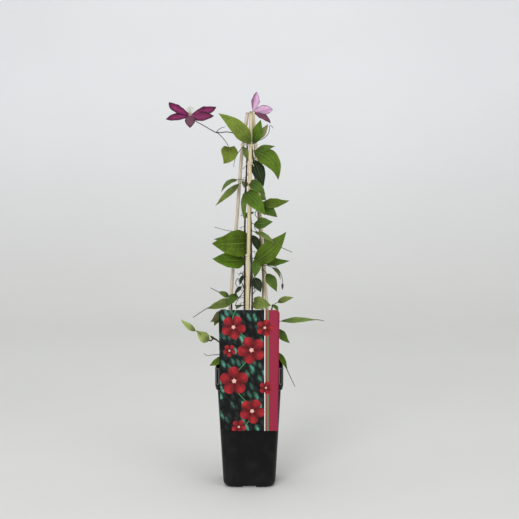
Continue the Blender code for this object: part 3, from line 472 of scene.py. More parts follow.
class CaneLook(bpy.types.PropertyGroup):
    """Colours of the three canes."""

    front: shade("Front cane", "Colour of the bright front cane", (0.61, 0.515, 0.315))
    left: shade("Left cane", "Colour of the left cane", (0.66, 0.57, 0.45))
    right: shade("Right cane", "Colour of the right cane", (0.80, 0.68, 0.50))
    # The top few millimetres of a cane are darkened towards this grey.
    top_grey: shade("Grey top", "Colour that a cane greys to at its top", (0.10, 0.10, 0.065))
    joint_swell: length("Joint swelling", "How far a cane's joint stands out", 0.00028, 0.001)


class TwineLook(bpy.types.PropertyGroup):
    """Colours of the twine."""

    twine: shade("Twine", "Colour of the twine round the canes", (0.74, 0.68, 0.50))
    small: shade("Small tie", "Colour of the small tie on the front cane", (0.75, 0.66, 0.42))
    pitch: length("Twist", "Length of one turn of the twine's strands", 0.0042, 0.02)


class LabelLook(bpy.types.PropertyGroup):
    """Colours of the printed label."""

    band: shade("Band", "Colour of the upright band", (0.275, 0.018, 0.048))
    stripe: shade("Stem and stripe", "Colour of the wavy stem and the stripe", (0.050, 0.230, 0.080))
    petal: shade("Petals", "Colour of the printed petals", (0.215, 0.010, 0.014))
    eye: shade("Eyes", "Colour of the blossoms' middles", (0.72, 0.42, 0.36))
    foliage: shade("Foliage", "Colour of the printed leaves", (0.045, 0.150, 0.105))
    gap: shade("Gaps", "Colour between the printed leaves", (0.007, 0.009, 0.009))
    line: shade("Pale line", "Colour of the pale line", (0.80, 0.78, 0.75))


class LeafLook(bpy.types.PropertyGroup):
    """Sizes and colours of the leaves."""

    fresh: shade("Fresh green", "Colour of a young leaf", (0.138, 0.180, 0.027))
    mid: shade("Middle green", "Colour of most leaves", (0.064, 0.114, 0.0055))
    dark: shade("Dark green", "Colour of an old leaf", (0.055, 0.105, 0.012))
    # Painted shade: a near-black green for leaves that lie deep in the plant's shadow.
    shade: shade("Deep green", "Colour of a leaf deep in the plant", (0.013, 0.024, 0.010))
    yellow: shade("Yellow green", "Colour of a leaf against the light", (0.128, 0.165, 0.016))
    olive: shade("Olive green", "Colour of a dull leaf", (0.130, 0.175, 0.040))
    dull: shade("Grey green", "Colour of a narrow old leaf", (0.095, 0.138, 0.030))
    pale: shade("Pale green", "Colour of a pale leaf", (0.225, 0.275, 0.085))
    tan: shade("Tan green", "Colour of a browning leaf", (0.170, 0.175, 0.075))
    brown: shade("Browned", "Colour of a withering leaf and of the dry tips",
                 (0.062, 0.060, 0.020))
    underside: shade("Underside", "Colour that a leaf's underside turns to",
                     (0.190, 0.260, 0.100))
    vein: shade("Veins", "Colour of the veins", (0.260, 0.340, 0.095))
    thickness: length("Thickness", "Thickness of a blade between its veins", 0.00036, 0.0007)
    vein_depth: length("Vein depth", "How deep the midrib lies in the upper side", 0.0003, 0.001)


class StemLook(bpy.types.PropertyGroup):
    """Colours of the stems."""

    young: shade("Young stem", "Colour of the green stem and stalks", (0.105, 0.125, 0.040))
    old: shade("Old stem", "Colour of the brown lower stem", (0.050, 0.030, 0.020))
    tan: shade("Tan stem", "Colour of the pale woody stem", (0.230, 0.170, 0.100))
    thread: shade("Tendrils", "Colour of bloom stalks and tendrils", (0.042, 0.034, 0.030))
    brown_height: length("Brown up to", "Height at which the stems turn green", 0.43, 0.65)


class BloomLook(bpy.types.PropertyGroup):
    """Sizes and colours of the blooms, their stamens and the bud."""

    face: shade("Open face", "Colour of the sepals' upper side", (0.130, 0.013, 0.055))
    edge: shade("Dark edge", "Colour towards the sepals' edges", (0.022, 0.005, 0.014))
    bar: shade("Middle bar", "Colour along the middle of each sepal", (0.290, 0.030, 0.150))
    # Painted sheen: this greyer colour stands in for the glancing sheen on the velvety sepals.
    grey: shade("Grey sheen", "Colour of the painted sheen on some sepals", (0.135, 0.055, 0.078))
    back: shade("Back", "Colour of the sepals' downy back", (0.690, 0.430, 0.650))
    back_bar: shade("Back bar", "Colour along the middle of the back", (0.560, 0.330, 0.480))
    back_edge: shade("Back edge", "Colour of the back's dark edge", (0.130, 0.025, 0.085))
    filament: shade("Filaments", "Colour of the stamens' threads", (0.600, 0.620, 0.420))
    anther: shade("Anthers", "Colour of the stamens' tips", (0.540, 0.520, 0.330))
    bud: shade("Bud", "Colour of the closed bud", (0.045, 0.020, 0.030))
    stamens: IntProperty(name="Stamens", description="Number of stamens in a bloom", min=8,
                         max=120, default=20)
    rib_height: length("Rib height", "Height of the three ribs along a sepal", 0.00035, 0.001)


class StageLook(bpy.types.PropertyGroup):
    """The floor, the light and the camera."""

    floor: shade("Floor", "Colour of the pale floor", (0.66, 0.66, 0.635))
    # Painted light: the floor's colour turns into this lighter, cooler one higher up the backdrop.
    backdrop: shade("Backdrop", "Colour of the backdrop high up", (0.80, 0.805, 0.815))
    room: shade("Room light", "Colour of the light from all round", (0.95, 0.97, 1.0))
    room_strength: FloatProperty(
        name="Room strength", description="Strength of the light from all round", min=0, max=4,
        default=0.52)
    key_power: power("Front light", "Power of the light before the plant on the left", 54)
    fill_power: power("Right light", "Power of the weaker light on the right", 14)
    top_power: power("Top light", "Power of the large light overhead", 22)
    backdrop_power: power("Backdrop light", "Power of the light on the backdrop", 16)
    camera_distance: length("Camera distance", "How far before the pot the camera stands", 2.4, 10)
    camera_height: length("Camera height", "Height of the camera over the floor", 0.68, 3)
    camera_side: length("Camera side", "How far right of the pot the camera stands", 0.0178, 1)
    camera_tilt: FloatProperty(
        name="Camera tilt", description="How far down the camera looks", subtype="ANGLE",
        min=0, max=1, default=math.radians(6.7))
    camera_lens: FloatProperty(
        name="Lens", description="Focal length in millimetres on a 36 mm sensor", min=20, max=300,
        default=95.65)


LOOKS = {
    "clematis_pot": PotLook, "clematis_soil": SoilLook, "clematis_canes": CaneLook,
    "clematis_twine": TwineLook, "clematis_label": LabelLook, "clematis_leaves": LeafLook,
    "clematis_stems": StemLook, "clematis_blooms": BloomLook, "clematis_stage": StageLook,
}


def unit(vectors):
    """The vectors at length 1."""
    return vectors / np.linalg.norm(vectors, axis=-1, keepdims=True)


def across(vectors, direction):
    """The part of each vector that is square to the unit direction."""
    return vectors - (vectors * direction).sum(-1, keepdims=True) * direction


def mix(first, second, share):
    """Goes evenly from the first value to the second as the share goes from 0 to 1."""
    return first + (second - first) * share


def ease(low, high, value):
    """0 below low, 1 above high, and a smooth S between: 3s^2 - 2s^3."""
    share = np.clip((value - low) / (high - low), 0, 1)
    return share * share * (3 - 2 * share)


def bell(value, width):
    """A smooth hump of height 1 at 0: e to the power of minus the square of value over width."""
    return np.exp(-(value / width) ** 2)


def circle(count):
    """Evenly spaced angles once round."""
    return np.linspace(0, 2 * np.pi, count, endpoint=False)


def lumps(points, size, seed):
    """Smooth bumps, mostly from -1 to 1: twice the mean of eight sine waves of about that length,
    each run in a way drawn at random."""
    drawn = np.random.default_rng(seed)
    ways = unit(drawn.normal(size=(8, 3)))
    lengths = size * drawn.uniform(0.7, 1.4, 8)
    starts = drawn.uniform(0, 2 * np.pi, 8)
    return np.sin(points @ ways.T * 2 * np.pi / lengths + starts).mean(-1) * 2


def smooth_route(points, steps):
    """A Catmull-Rom curve through the points: a cubic from each point to the next, whose slope at
    a point is half the way from the point before it to the one after."""
    points = np.array(points, float)
    ends = np.vstack([2 * points[0] - points[1], points, 2 * points[-1] - points[-2]])
    before, here, there, after = (ends[k:len(ends) - 3 + k, None] for k in range(4))
    t = (np.arange(steps) / steps)[None, :, None]
    curve = 0.5 * (2 * here + (there - before) * t
                   + (2 * before - 5 * here + 4 * there - after) * t ** 2
                   + (3 * here - before - 3 * there + after) * t ** 3)
    return np.vstack([curve.reshape(-1, 3), points[-1:]])


def bezier(start, bend, end, t):
    """A quadratic curve from start to end that leans towards bend."""
    return (1 - t) ** 2 * start + 2 * t * (1 - t) * bend + t ** 2 * end


def axes_along(route):
    """Three unit vectors at each point of a route: its heading, and two square to it, the first of
    which stays near the direction in which the whole route spreads least."""
    heading = unit(np.gradient(route, axis=0))
    least = np.linalg.svd(route - route.mean(0), full_matrices=False)[2][-1]
    first = unit(across(np.broadcast_to(least, heading.shape), heading))
    return heading, first, np.cross(heading, first)


def tube(route, radii, sides=10, ribs=0.0, rib_count=6):
    """Rings round a route: at each point a circle of that radius square to the heading, whose
    radius swells and shrinks by the share ribs, rib_count times round."""
    _, first, second = axes_along(route)
    angle = circle(sides)[None, :, None]
    radius = np.reshape(radii, (-1, 1, 1)) * (1 + ribs * np.cos(rib_count * angle))
    return route[:, None] + radius * (first[:, None] * np.cos(angle)
                                      + second[:, None] * np.sin(angle))


class Body:
    """Collects closed surfaces into one mesh, with a tint and a pattern place at each point."""

    def __init__(self):
        self.parts = []
        self.count = 0

    def skin(self, rings, tint, spot=(0.0, 0.0, 0.0), paint=0, loop=False):
        """A surface through the rings, each joined to the next: closed by a pole at both ends, or
        joined from the last ring to the first."""
        many, around = rings.shape[:2]
        index = np.arange(many * around).reshape(many, around) + self.count
        after = np.roll(index, -1, axis=1)
        low, low_after, high, high_after = index[:-1], after[:-1], index[1:], after[1:]
        points = rings.reshape(-1, 3)
        tints = np.broadcast_to(tint, rings.shape).reshape(-1, 3)
        spots = np.broadcast_to(spot, rings.shape).reshape(-1, 3)
        if loop:
            low, low_after = index, after
            high, high_after = np.roll(index, -1, axis=0), np.roll(after, -1, axis=0)
            fans = np.empty((0, 3), int)
        else:
            ends = np.full((2, around), self.count + many * around) + [[0], [1]]
            fans = np.concatenate([np.stack([ends[0], after[0], index[0]], -1),
                                   np.stack([ends[1], index[-1], after[-1]], -1)])
            points, tints, spots = (
                np.vstack([part, part[:around].mean(0), part[-around:].mean(0)])
                for part in (points, tints, spots))
        quads = np.stack([low, low_after, high_after, high], -1).reshape(-1, 4)
        self.count += len(points)
        self.parts.append((points, tints, spots, quads, fans, paint))

    def make(self, name, paints, slot, *nodes):
        """The mesh as an object of the scene, riding on the frame in place of the solids."""
        points, tints, spots, quads, fans, marks = zip(*self.parts)
        quad_marks = np.concatenate([np.full(len(q), m) for q, m in zip(quads, marks)])
        fan_marks = np.concatenate([np.full(len(f), m) for f, m in zip(fans, marks)])
        points, tints, spots, quads, fans = (
            np.concatenate(part) for part in (points, tints, spots, quads, fans))
        sizes = np.concatenate([np.full(len(quads), 4), np.full(len(fans), 3)])
        mesh = bpy.data.meshes.new(name)
        mesh.vertices.add(len(points))
        mesh.vertices.foreach_set("co", (points * MM).astype(np.float32).ravel())
        mesh.loops.add(sizes.sum())
        mesh.loops.foreach_set("vertex_index", np.concatenate([quads.ravel(), fans.ravel()]))
        mesh.polygons.add(len(sizes))
        mesh.polygons.foreach_set("loop_start", np.cumsum(sizes) - sizes)
        mesh.polygons.foreach_set("material_index", np.concatenate([quad_marks, fan_marks]))
        mesh.update(calc_edges=True)
        mesh.shade_smooth()
        colours = np.hstack([tints, np.ones((len(tints), 1))]).astype(np.float32)
        mesh.attributes.new("tint", "FLOAT_COLOR", "POINT").data.foreach_set("color",
                                                                            colours.ravel())
        mesh.attributes.new("spot", "FLOAT_VECTOR", "POINT").data.foreach_set(
            "vector", spots.astype(np.float32).ravel())
        for paint in paints:
            mesh.materials.append(paint)
        if mesh.validate():
            raise RuntimeError(f"the mesh of {name} is not sound")
        obj = bpy.data.objects.new(name, mesh)
        bpy.context.scene.collection.objects.link(obj)
        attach(obj, "root")
        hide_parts(*nodes)
        return obj


class Paint:
    """One procedural material: each call adds a node and gives back its result."""

    def __init__(self, name, roughness=0.5, specular=0.5, **constants):
        self.surface = bpy.data.materials.new(name)
        self.surface.use_nodes = True
        self.tree = self.surface.node_tree
        self.shader = self.tree.nodes["Principled BSDF"]
        self.shader.inputs["Roughness"].default_value = roughness
        self.shader.inputs["Specular IOR Level"].default_value = specular
        for key, value in constants.items():
            self.shader.inputs[key.replace("_", " ")].default_value = value

    def node(self, kind, inputs, **settings):
        """A new node with its settings made and its inputs set or linked."""
        node = self.tree.nodes.new("ShaderNode" + kind)
        for key, value in settings.items():
            setattr(node, key, value)
        for key, value in inputs.items():
            if isinstance(value, bpy.types.NodeSocket):
                self.tree.links.new(value, node.inputs[key])
            else:
                node.inputs[key].default_value = value
        return node

    def set(self, name, value):
        """Links a result to one of the shader's own inputs."""
        self.tree.links.new(value, self.shader.inputs[name])

    def math(self, operation, *values):
        """The result of one sum on numbers."""
        return self.node("Math", dict(enumerate(values)), operation=operation).outputs[0]

    def times(self, first, *others):
        """The product of several numbers."""
        for other in others:
            first = self.math("MULTIPLY", first, other)
        return first

    def ramp(self, value, low, high, start=0.0, end=1.0):
        """Goes smoothly from start to end while the value goes from low to high."""
        return self.node("MapRange", {"Value": value, "From Min": low, "From Max": high,
                                      "To Min": start, "To Max": end},
                         interpolation_type="SMOOTHSTEP").outputs[0]

    def line(self, value, middle, half, soft):
        """1 within half of the middle, and 0 beyond it by more than soft."""
        off = self.math("ABSOLUTE", self.math("SUBTRACT", value, middle))
        return self.ramp(off, half, half + soft, 1.0, 0.0)

    def blend(self, share, first, second):
        """Goes from the first colour to the second as the share goes from 0 to 1."""
        first, second = (c if isinstance(c, bpy.types.NodeSocket) else (*c, 1)
                         for c in (first, second))
        return self.node("Mix", {0: share, 6: first, 7: second}, data_type="RGBA").outputs[2]

    def scaled(self, colour, factor):
        """The colour made brighter or darker by the factor."""
        return self.node("VectorMath", {0: colour, "Scale": factor}, operation="SCALE").outputs[0]

    def place(self, scale=(1, 1, 1)):
        """The place on the object, stretched by scale."""
        where = self.node("TexCoord", {}).outputs["Object"]
        return self.node("Mapping", {"Vector": where, "Scale": scale}).outputs[0]

    def attribute(self, name, output):
        """A value that the mesh holds at its points."""
        return self.node("Attribute", {}, attribute_name=name).outputs[output]

    def split(self, vector):
        """The three numbers of a vector."""
        return self.node("SeparateXYZ", {0: vector}).outputs

    def noise(self, place, scale, detail=3.0, rough=0.5):
        """Cloudy noise from 0 to 1."""
        return self.node("TexNoise", {"Vector": place, "Scale": scale, "Detail": detail,
                                      "Roughness": rough}).outputs[0]

    def cells(self, place, scale, output="Distance", feature="F1", sides="3D"):
        """Random cells: the distance to the nearest middle or edge, or a colour for each cell."""
        return self.node("TexVoronoi", {"Vector": place, "Scale": scale}, feature=feature,
                         voronoi_dimensions=sides).outputs[output]

    def bump(self, height, strength, distance):
        """Small relief in the finish."""
        bumped = self.node("Bump", {"Height": height, "Strength": strength, "Distance": distance})
        self.set("Normal", bumped.outputs[0])


def pot_paint(look):
    """Black moulded plastic, satin, with a faint grain, dust near the foot and upright scuffs."""
    paint = Paint("pot_plastic", specular=0.13)
    place = paint.place()
    height = paint.split(place)[2]
    cloud = paint.noise(place, 38, 5)
    streak = paint.noise(paint.place((420, 420, 14)), 1.0, 3)
    dust = paint.math("ADD", paint.ramp(height, 0.0, 0.05, 0.22, 0.0),
                      paint.ramp(streak, 0.6, 0.75, 0.0, 0.16))
    dust = paint.math("ADD", dust, paint.ramp(cloud, 0.45, 0.75, 0.0, 0.3))
    paint.set("Base Color", paint.blend(dust, paint.attribute("tint", "Color"), look.dust))
    paint.set("Roughness", paint.ramp(cloud, 0.3, 0.75, 0.27, 0.43))
    paint.bump(paint.noise(place, 2600, 2), 0.10, 0.0002)
    return paint.surface


def peat_paint(look):
    """Dark crumbly peat: cells and clouds of dark and lighter brown, quite matt."""
    paint = Paint("peat", roughness=0.94, specular=0.2)
    place = paint.place()
    cloud = paint.noise(place, 160, 6, 0.65)
    fine = paint.noise(place, 1500, 4, 0.6)
    base = paint.scaled(paint.attribute("tint", "Color"), paint.ramp(fine, 0.3, 0.7, 0.55, 1.5))
    paint.set("Base Color", paint.blend(paint.ramp(cloud, 0.52, 0.72, 0.0, 0.4), base,
                                        look.fibre))
    paint.bump(paint.math("ADD", fine, cloud), 0.7, 0.0006)
    return paint.surface


def cane_paint():
    """Pale split cane: its own tint under fine lengthwise streaks, with brown flecks."""
    paint = Paint("cane_wood", specular=0.25)
    streaks = paint.noise(paint.place((900, 900, 9)), 1.0, 4, 0.6)
    fine = paint.noise(paint.place((3200, 3200, 40)), 1.0, 2)
    spots = paint.noise(paint.place((160, 160, 60)), 1.0, 3)
    light = paint.times(paint.ramp(streaks, 0.3, 0.7, 0.74, 1.14),
                        paint.ramp(fine, 0.3, 0.7, 0.90, 1.06))
    shaded = paint.scaled(paint.attribute("tint", "Color"), light)
    paint.set("Base Color", paint.blend(paint.ramp(spots, 0.62, 0.78, 0.0, 0.35), shaded,
                                        CANE_FLECK))
    paint.set("Roughness", paint.ramp(streaks, 0.3, 0.7, 0.62, 0.46))
    paint.bump(paint.math("ADD", streaks, fine), 0.35, 0.0004)
    return paint.surface


def uneven_paint(name, roughness, grain, sheen):
    """A matt, fuzzy or downy surface in its own tint, a little uneven."""
    paint = Paint(name, roughness=roughness, specular=0.2, Sheen_Weight=sheen)
    fuzz = paint.noise(paint.place(), grain, 3)
    paint.set("Base Color", paint.scaled(paint.attribute("tint", "Color"),
                                         paint.ramp(fuzz, 0.3, 0.7, 0.75, 1.16)))
    paint.bump(fuzz, 0.45, 0.0003)
    return paint.surface


def vein_lines(paint, across_place, along_place):
    """How strongly the veins show: a midrib, two side veins that run with the edge, and slanting
    ties between them, from the places across (-1 to 1) and along (0 to 1) the blade."""
    side = paint.math("ABSOLUTE", across_place)
    midrib = paint.ramp(side, 0.02, 0.075, 1.0, 0.0)
    lateral = paint.times(paint.line(side, SIDE_VEIN, 0.008, 0.035), 0.7,
                          paint.ramp(along_place, 0.75, 0.95, 1.0, 0.0))
    slant = paint.math("MULTIPLY_ADD", side, -0.22, along_place)
    teeth = paint.math("PINGPONG", paint.times(slant, 9.0), 0.5)
    ties = paint.ramp(teeth, 0.0, 0.05, 0.22, 0.0)
    return paint.math("MAXIMUM", midrib, paint.math("MAXIMUM", lateral, ties))


def leaf_paint(look):
    """A leaf: its own tint, mottled, with paler veins, a net of fine veins and a dull gloss."""
    paint = Paint("leaf_blade", specular=0.11)
    v, t, _ = paint.split(paint.attribute("spot", "Vector"))
    place = paint.place()
    veins = vein_lines(paint, v, t)
    net = paint.cells(place, 620, feature="DISTANCE_TO_EDGE")
    cloud = paint.noise(place, 85, 4, 0.6)
    fine = paint.noise(place, 900, 3)
    light = paint.times(paint.ramp(cloud, 0.3, 0.7, 0.78, 1.20),
                        paint.ramp(fine, 0.3, 0.7, 0.90, 1.10))
    tint = paint.attribute("tint", "Color")
    base = paint.scaled(tint, light)
    pale = paint.blend(0.55, paint.scaled(tint, 1.7), look.vein)
    base = paint.blend(paint.ramp(net, 0.0, 0.09, 0.10, 0.0), base, pale)
    paint.set("Base Color", paint.blend(paint.times(veins, 0.42), base, pale))
    paint.set("Roughness", paint.ramp(cloud, 0.3, 0.7, 0.40, 0.58))
    relief = paint.math("SUBTRACT", paint.ramp(net, 0.0, 0.25), veins)
    paint.bump(paint.math("MULTIPLY_ADD", fine, 0.3, relief), 0.30, 0.00035)
    return paint.surface


def stem_paint():
    """A ribbed stem: its tint with fine lengthwise streaks and a few brown flecks."""
    paint = Paint("stem_skin", roughness=0.58, specular=0.2)
    streak = paint.noise(paint.place((1500, 1500, 90)), 1.0, 3)
    fleck = paint.ramp(paint.noise(paint.place(), 480, 3), 0.60, 0.72, 0.0, 0.5)
    base = paint.scaled(paint.attribute("tint", "Color"), paint.ramp(streak, 0.3, 0.7, 0.65, 1.3))
    paint.set("Base Color", paint.blend(fleck, base, STEM_FLECK))
    paint.bump(streak, 0.4, 0.0003)
    return paint.surface


def sepal_paint():
    """A velvety sepal: its tint with fine lengthwise veins and a soft sheen."""
    paint = Paint("sepal_skin", roughness=0.62, specular=0.12, Sheen_Weight=0.04,
                  Sheen_Roughness=0.4)
    v, t, side = paint.split(paint.attribute("spot", "Vector"))
    flow = paint.node("CombineXYZ", {0: paint.times(v, 11.0), 1: paint.times(t, 1.6),
                                     2: side}).outputs[0]
    threads = paint.noise(flow, 1.0, 3, 0.6)
    light = paint.times(paint.ramp(threads, 0.35, 0.65, 0.70, 1.18),
                        paint.ramp(paint.noise(paint.place(), 170, 4), 0.3, 0.7, 0.86, 1.16))
    paint.set("Base Color", paint.scaled(paint.attribute("tint", "Color"), light))
    paint.bump(paint.math("ADD", threads, paint.noise(paint.place(), 2600, 2)), 0.30, 0.0003)
    return paint.surface


def label_back_paint():
    """The unprinted white back and edges of the label."""
    paint = Paint("label_back", roughness=0.5, specular=0.4)
    cloud = paint.noise(paint.place(), 60, 3)
    paint.set("Base Color", paint.blend(cloud, *LABEL_BACK))
    paint.bump(paint.noise(paint.place(), 1800, 2), 0.05, 0.0002)
    return paint.surface


def printed_blossom(paint, base, x, z, spot, petal, eye, cloud):
    """Lays one plain blossom of five round petals on the print. It reaches out to its size times
    0.55 + 0.45 sqrt(1 - s^2), where s goes from 0 along a petal's middle to 1 between two petals."""
    dx = paint.math("SUBTRACT", x, spot[0])
    dz = paint.math("SUBTRACT", z, spot[1])
    far = paint.math("SQRT", paint.math("MULTIPLY_ADD", dx, dx, paint.times(dz, dz)))
    turn = paint.math("MULTIPLY_ADD", paint.math("ARCTAN2", dz, dx), 2.5 / math.pi, spot[1] / 7)
    s = paint.times(paint.math("PINGPONG", turn, 0.5), 2.0)
    hollow = paint.math("SQRT", paint.math("MULTIPLY_ADD", s, paint.times(s, -1.0), 1.0))
    reach = paint.times(paint.math("MULTIPLY_ADD", hollow, 0.45, 0.55), spot[2])
    share = paint.math("DIVIDE", far, reach)
    light = paint.times(paint.ramp(s, 0.0, 1.0, 1.25, 0.45),
                        paint.ramp(share, 0.1, 0.9, 0.5, 1.3),
                        paint.ramp(cloud, 0.3, 0.7, 0.75, 1.25))
    base = paint.blend(paint.ramp(share, 0.97, 1.02, 1.0, 0.0), base, paint.scaled(petal, light))
    return paint.blend(paint.ramp(share, 0.13, 0.19, 1.0, 0.0), base, eye)


def label_paint(look):
    """A generic print: an upright crimson band with a pale line and a green stripe on one side, and
    a wavy stem with plain blossoms over dark leaves. x and z are millimetres."""
    paint = Paint("label_print", roughness=0.38, specular=0.18)
    x, _, z = paint.split(paint.place((1000, 1000, 1000)))
    cloud = paint.noise(paint.node("CombineXYZ", {0: x, 1: z}).outputs[0], 0.12, 5, 0.6)
    narrow = paint.node("CombineXYZ", {0: paint.math("MULTIPLY_ADD", z, 0.35, x),
                                       1: paint.times(z, 0.55)}).outputs[0]
    leafy = paint.cells(narrow, 0.11, sides="2D")
    tone = paint.split(paint.cells(narrow, 0.11, "Color", sides="2D"))[0]
    leaves = paint.blend(paint.ramp(tone, 0.45, 0.9), look.gap, look.foliage)
    base = paint.scaled(leaves, paint.times(paint.ramp(leafy, 0.1, 0.55, 1.6, 0.1),
                                            paint.ramp(cloud, 0.35, 0.65, 0.45, 1.6)))
    wave, swing, middle = PRINTED_STEM
    stem = paint.math("MULTIPLY_ADD", paint.math("SINE", paint.times(z, 2 * math.pi / wave)),
                      swing, middle)
    base = paint.blend(paint.line(paint.math("SUBTRACT", x, stem), 0.0, 0.7, 0.4), base,
                       look.stripe)
    base = paint.blend(paint.ramp(x, PRINTED_BAND - 0.3, PRINTED_BAND + 0.3), base,
                       look.band)
    base = paint.blend(paint.line(x, PRINTED_BAND, 0.6, 0.3), base, look.line)
    base = paint.blend(paint.line(x, PRINTED_STRIPE, 1.4, 0.3), base, look.stripe)
    for spot in PRINTED_BLOSSOMS:
        base = printed_blossom(paint, base, x, z, spot, look.petal, look.eye, cloud)
    edge = paint.ramp(paint.math("ABSOLUTE", x), 47.5, 51.5, 1.0, 0.72)
    paint.set("Base Color", paint.scaled(base, edge))
    return paint.surface


def floor_paint(look):
    """A smooth pale floor that turns into a lighter, cooler backdrop, painted light that brightens
    the sweep higher up, very slightly uneven.
    """
    paint = Paint("floor", roughness=0.8, specular=0.1)
    place = paint.place()
    _, y, z = paint.split(place)
    # Painted light: the colour grows lighter and cooler with height, as the light on the sweep does.
    height = paint.math("MULTIPLY_ADD", y, 0.12, z)
    base = paint.blend(paint.ramp(height, 0.12, 1.15), look.floor, look.backdrop)
    cloud = paint.noise(place, 2.0, 2)
    paint.set("Base Color", paint.scaled(base, paint.ramp(cloud, 0.3, 0.7, 0.99, 1.01)))
    return paint.surface


def rounded_profile(corners, cut, steps=5):
    """A line through the corners, each cut off by a quadratic curve that starts and ends at most
    cut away from it."""
    corners = np.array(corners, float)
    t = np.linspace(0, 1, steps)[:, None]
    line = [corners[:1]]
    for before, here, after in zip(corners, corners[1:], corners[2:]):
        back, on = before - here, after - here
        start = here + unit(back) * min(cut, np.linalg.norm(back) * 0.45)
        end = here + unit(on) * min(cut, np.linalg.norm(on) * 0.45)
        line.append(bezier(start, here, end, t))
    return np.vstack(line + [corners[-1:]])


def spaced(line, step):
    """The same line with points no further apart than step, all its own points among them."""
    parts = [np.linspace(a, b, max(1, math.ceil(np.linalg.norm(b - a) / step)), endpoint=False)
             for a, b in zip(line, line[1:])]
    return np.vstack(parts + [line[-1:]])


def square_rings(half, corner, height, flat=16, arc=36):
    """Rings round squares with rounded corners: a straight side from -(half - corner) to
    half - corner, then a quarter circle, four times round. Gives the places, the way out at each,
    and how far round each lies from the middle of its own side."""
    half, corner = (np.reshape(a, (-1, 1)) for a in (half, corner))
    run = np.linspace(-1, 1, flat, endpoint=False)[None]
    angle = np.linspace(0, np.pi / 2, arc, endpoint=False)[None]
    ones = np.ones_like(half)
    straight = half - corner
    side = np.hstack([straight * run, straight + corner * np.sin(angle)])
    out = np.hstack([half * np.ones_like(run), straight + corner * np.cos(angle)])
    way_side = np.hstack([0 * half * run, ones * np.sin(angle)])
    way_out = np.hstack([ones * np.ones_like(run), ones * np.cos(angle)])
    walk = np.hstack([straight * run, straight + corner * angle])
    level = np.broadcast_to(np.reshape(height, (-1, 1)), side.shape)
    places, ways = [], []
    for cos, sin in ((1, 0), (0, 1), (-1, 0), (0, -1)):
        places.append(np.stack([cos * out - sin * side, sin * out + cos * side, level], -1))
        ways.append(np.stack([cos * way_out - sin * way_side, sin * way_out + cos * way_side,
                              0 * level], -1))
    return np.concatenate(places, 1), np.concatenate(ways, 1), np.tile(walk, (1, 4))


def make_pot(look):
    """The tapered pot: rounded squares carried up the outside, over the rim and down the inside,
    pushed in along the U-shaped grooves, then cut at the foot."""
    taper = (POT_SHOULDER - POT_FOOT) / SHOULDER_HEIGHT
    inner = POT_COLLAR - POT_WALL
    foot = [(POT_FOOT + taper * up - inset, up) for inset, up in FOOT_EDGE]
    outer = [(2, 0), *foot, (POT_SHOULDER, SHOULDER_HEIGHT),
             (POT_COLLAR - STEP_EDGE[0], SHOULDER_HEIGHT + STEP_EDGE[1]),
             (POT_COLLAR, COLLAR_HEIGHT), (POT_COLLAR, POT_HEIGHT), (inner, POT_HEIGHT),
             (inner, COLLAR_HEIGHT), (POT_SHOULDER - POT_WALL, SHOULDER_HEIGHT),
             (POT_FOOT + taper * POT_FLOOR - POT_WALL, POT_FLOOR), (2, POT_FLOOR)]
    line = spaced(rounded_profile(outer, look.edge_round / MM), 4.0)
    collar = line[:, 0] > POT_SHOULDER + 1
    first, last = np.flatnonzero(collar)[[0, -1]]
    line = np.vstack([line[:first], spaced(line[first:last + 1], 0.9), line[last + 1:]])
    half, height = line.T
    inside = np.arange(len(line)) > np.abs(height - POT_HEIGHT).argmin()
    corner = mix(FOOT_CORNER, POT_CORNER, np.clip(height / SHOULDER_HEIGHT, 0, 1))
    corner = np.minimum(corner - POT_WALL * inside, half * 0.9)
    rings, outward, walk = square_rings(half, corner, height)
    on_collar = ease(COLLAR_HEIGHT - 4, COLLAR_HEIGHT, height)[:, None] * ~inside[:, None]
    below = np.minimum(height - GROOVE_LOW, 0)[:, None]
    off = walk - (half - corner * (1 - np.pi / 4))[:, None]
    groove = bell(np.sqrt(off ** 2 + below ** 2) - GROOVE_HALF, GROOVE_SOFT) * on_collar
    rings = rings - outward * (groove * look.groove_depth / MM)[..., None]
    # Painted highlight: the groove lines and the rim's edge are tinted pale where they catch the
    # light.
    highlight = np.clip(groove + RIM_HIGHLIGHT * bell(height - POT_HEIGHT, 0.6)[:, None], 0, 1)
    body = Body()
    body.skin(rings, mix(np.array(look.plastic), np.array(look.line),
                         GROOVE_HIGHLIGHT * highlight[..., None]))
    pot = body.make("pot_shell", [pot_paint(look)], "pot_plastic", "pot")
    cut_pot(pot)
    pot.data.set_sharp_from_angle(angle=math.radians(40))


def cut_pot(pot):
    """Cuts the notches under the four sides and the four drain holes out of the pot's foot."""
    width, depth, height = NOTCH
    cutters = Body()
    square = np.array([(-1, -1), (1, -1), (1, 1), (-1, 1)]) / 2
    round_hole = DRAIN_RADIUS * np.column_stack([np.cos(circle(32)), np.sin(circle(32))])
    holes = []
    for side in (-1, 1):
        holes.append((square * (width, 2 * depth) + (0, side * POT_FOOT), height))
        holes.append((square * (2 * depth, width) + (side * POT_FOOT, 0), height))
        for other in (-1, 1):
            holes.append((round_hole + np.array((side, other)) * DRAIN_PLACE, POT_FLOOR + 1))
    for ring, top in holes:
        cutters.skin(np.stack([np.column_stack([ring, np.full(len(ring), z)])
                               for z in (-2.0, top)]), (0, 0, 0))
    tool = cutters.make("pot_cutters", [], "pot_plastic")
    step = pot.modifiers.new("Cuts", "BOOLEAN")
    step.operation = "DIFFERENCE"
    step.object = tool
    step.solver = "MANIFOLD"
    depsgraph = bpy.context.evaluated_depsgraph_get()
    cut = bpy.data.meshes.new_from_object(pot.evaluated_get(depsgraph), depsgraph=depsgraph)
    pot.modifiers.clear()
    pot.data = cut
    bpy.data.objects.remove(tool)


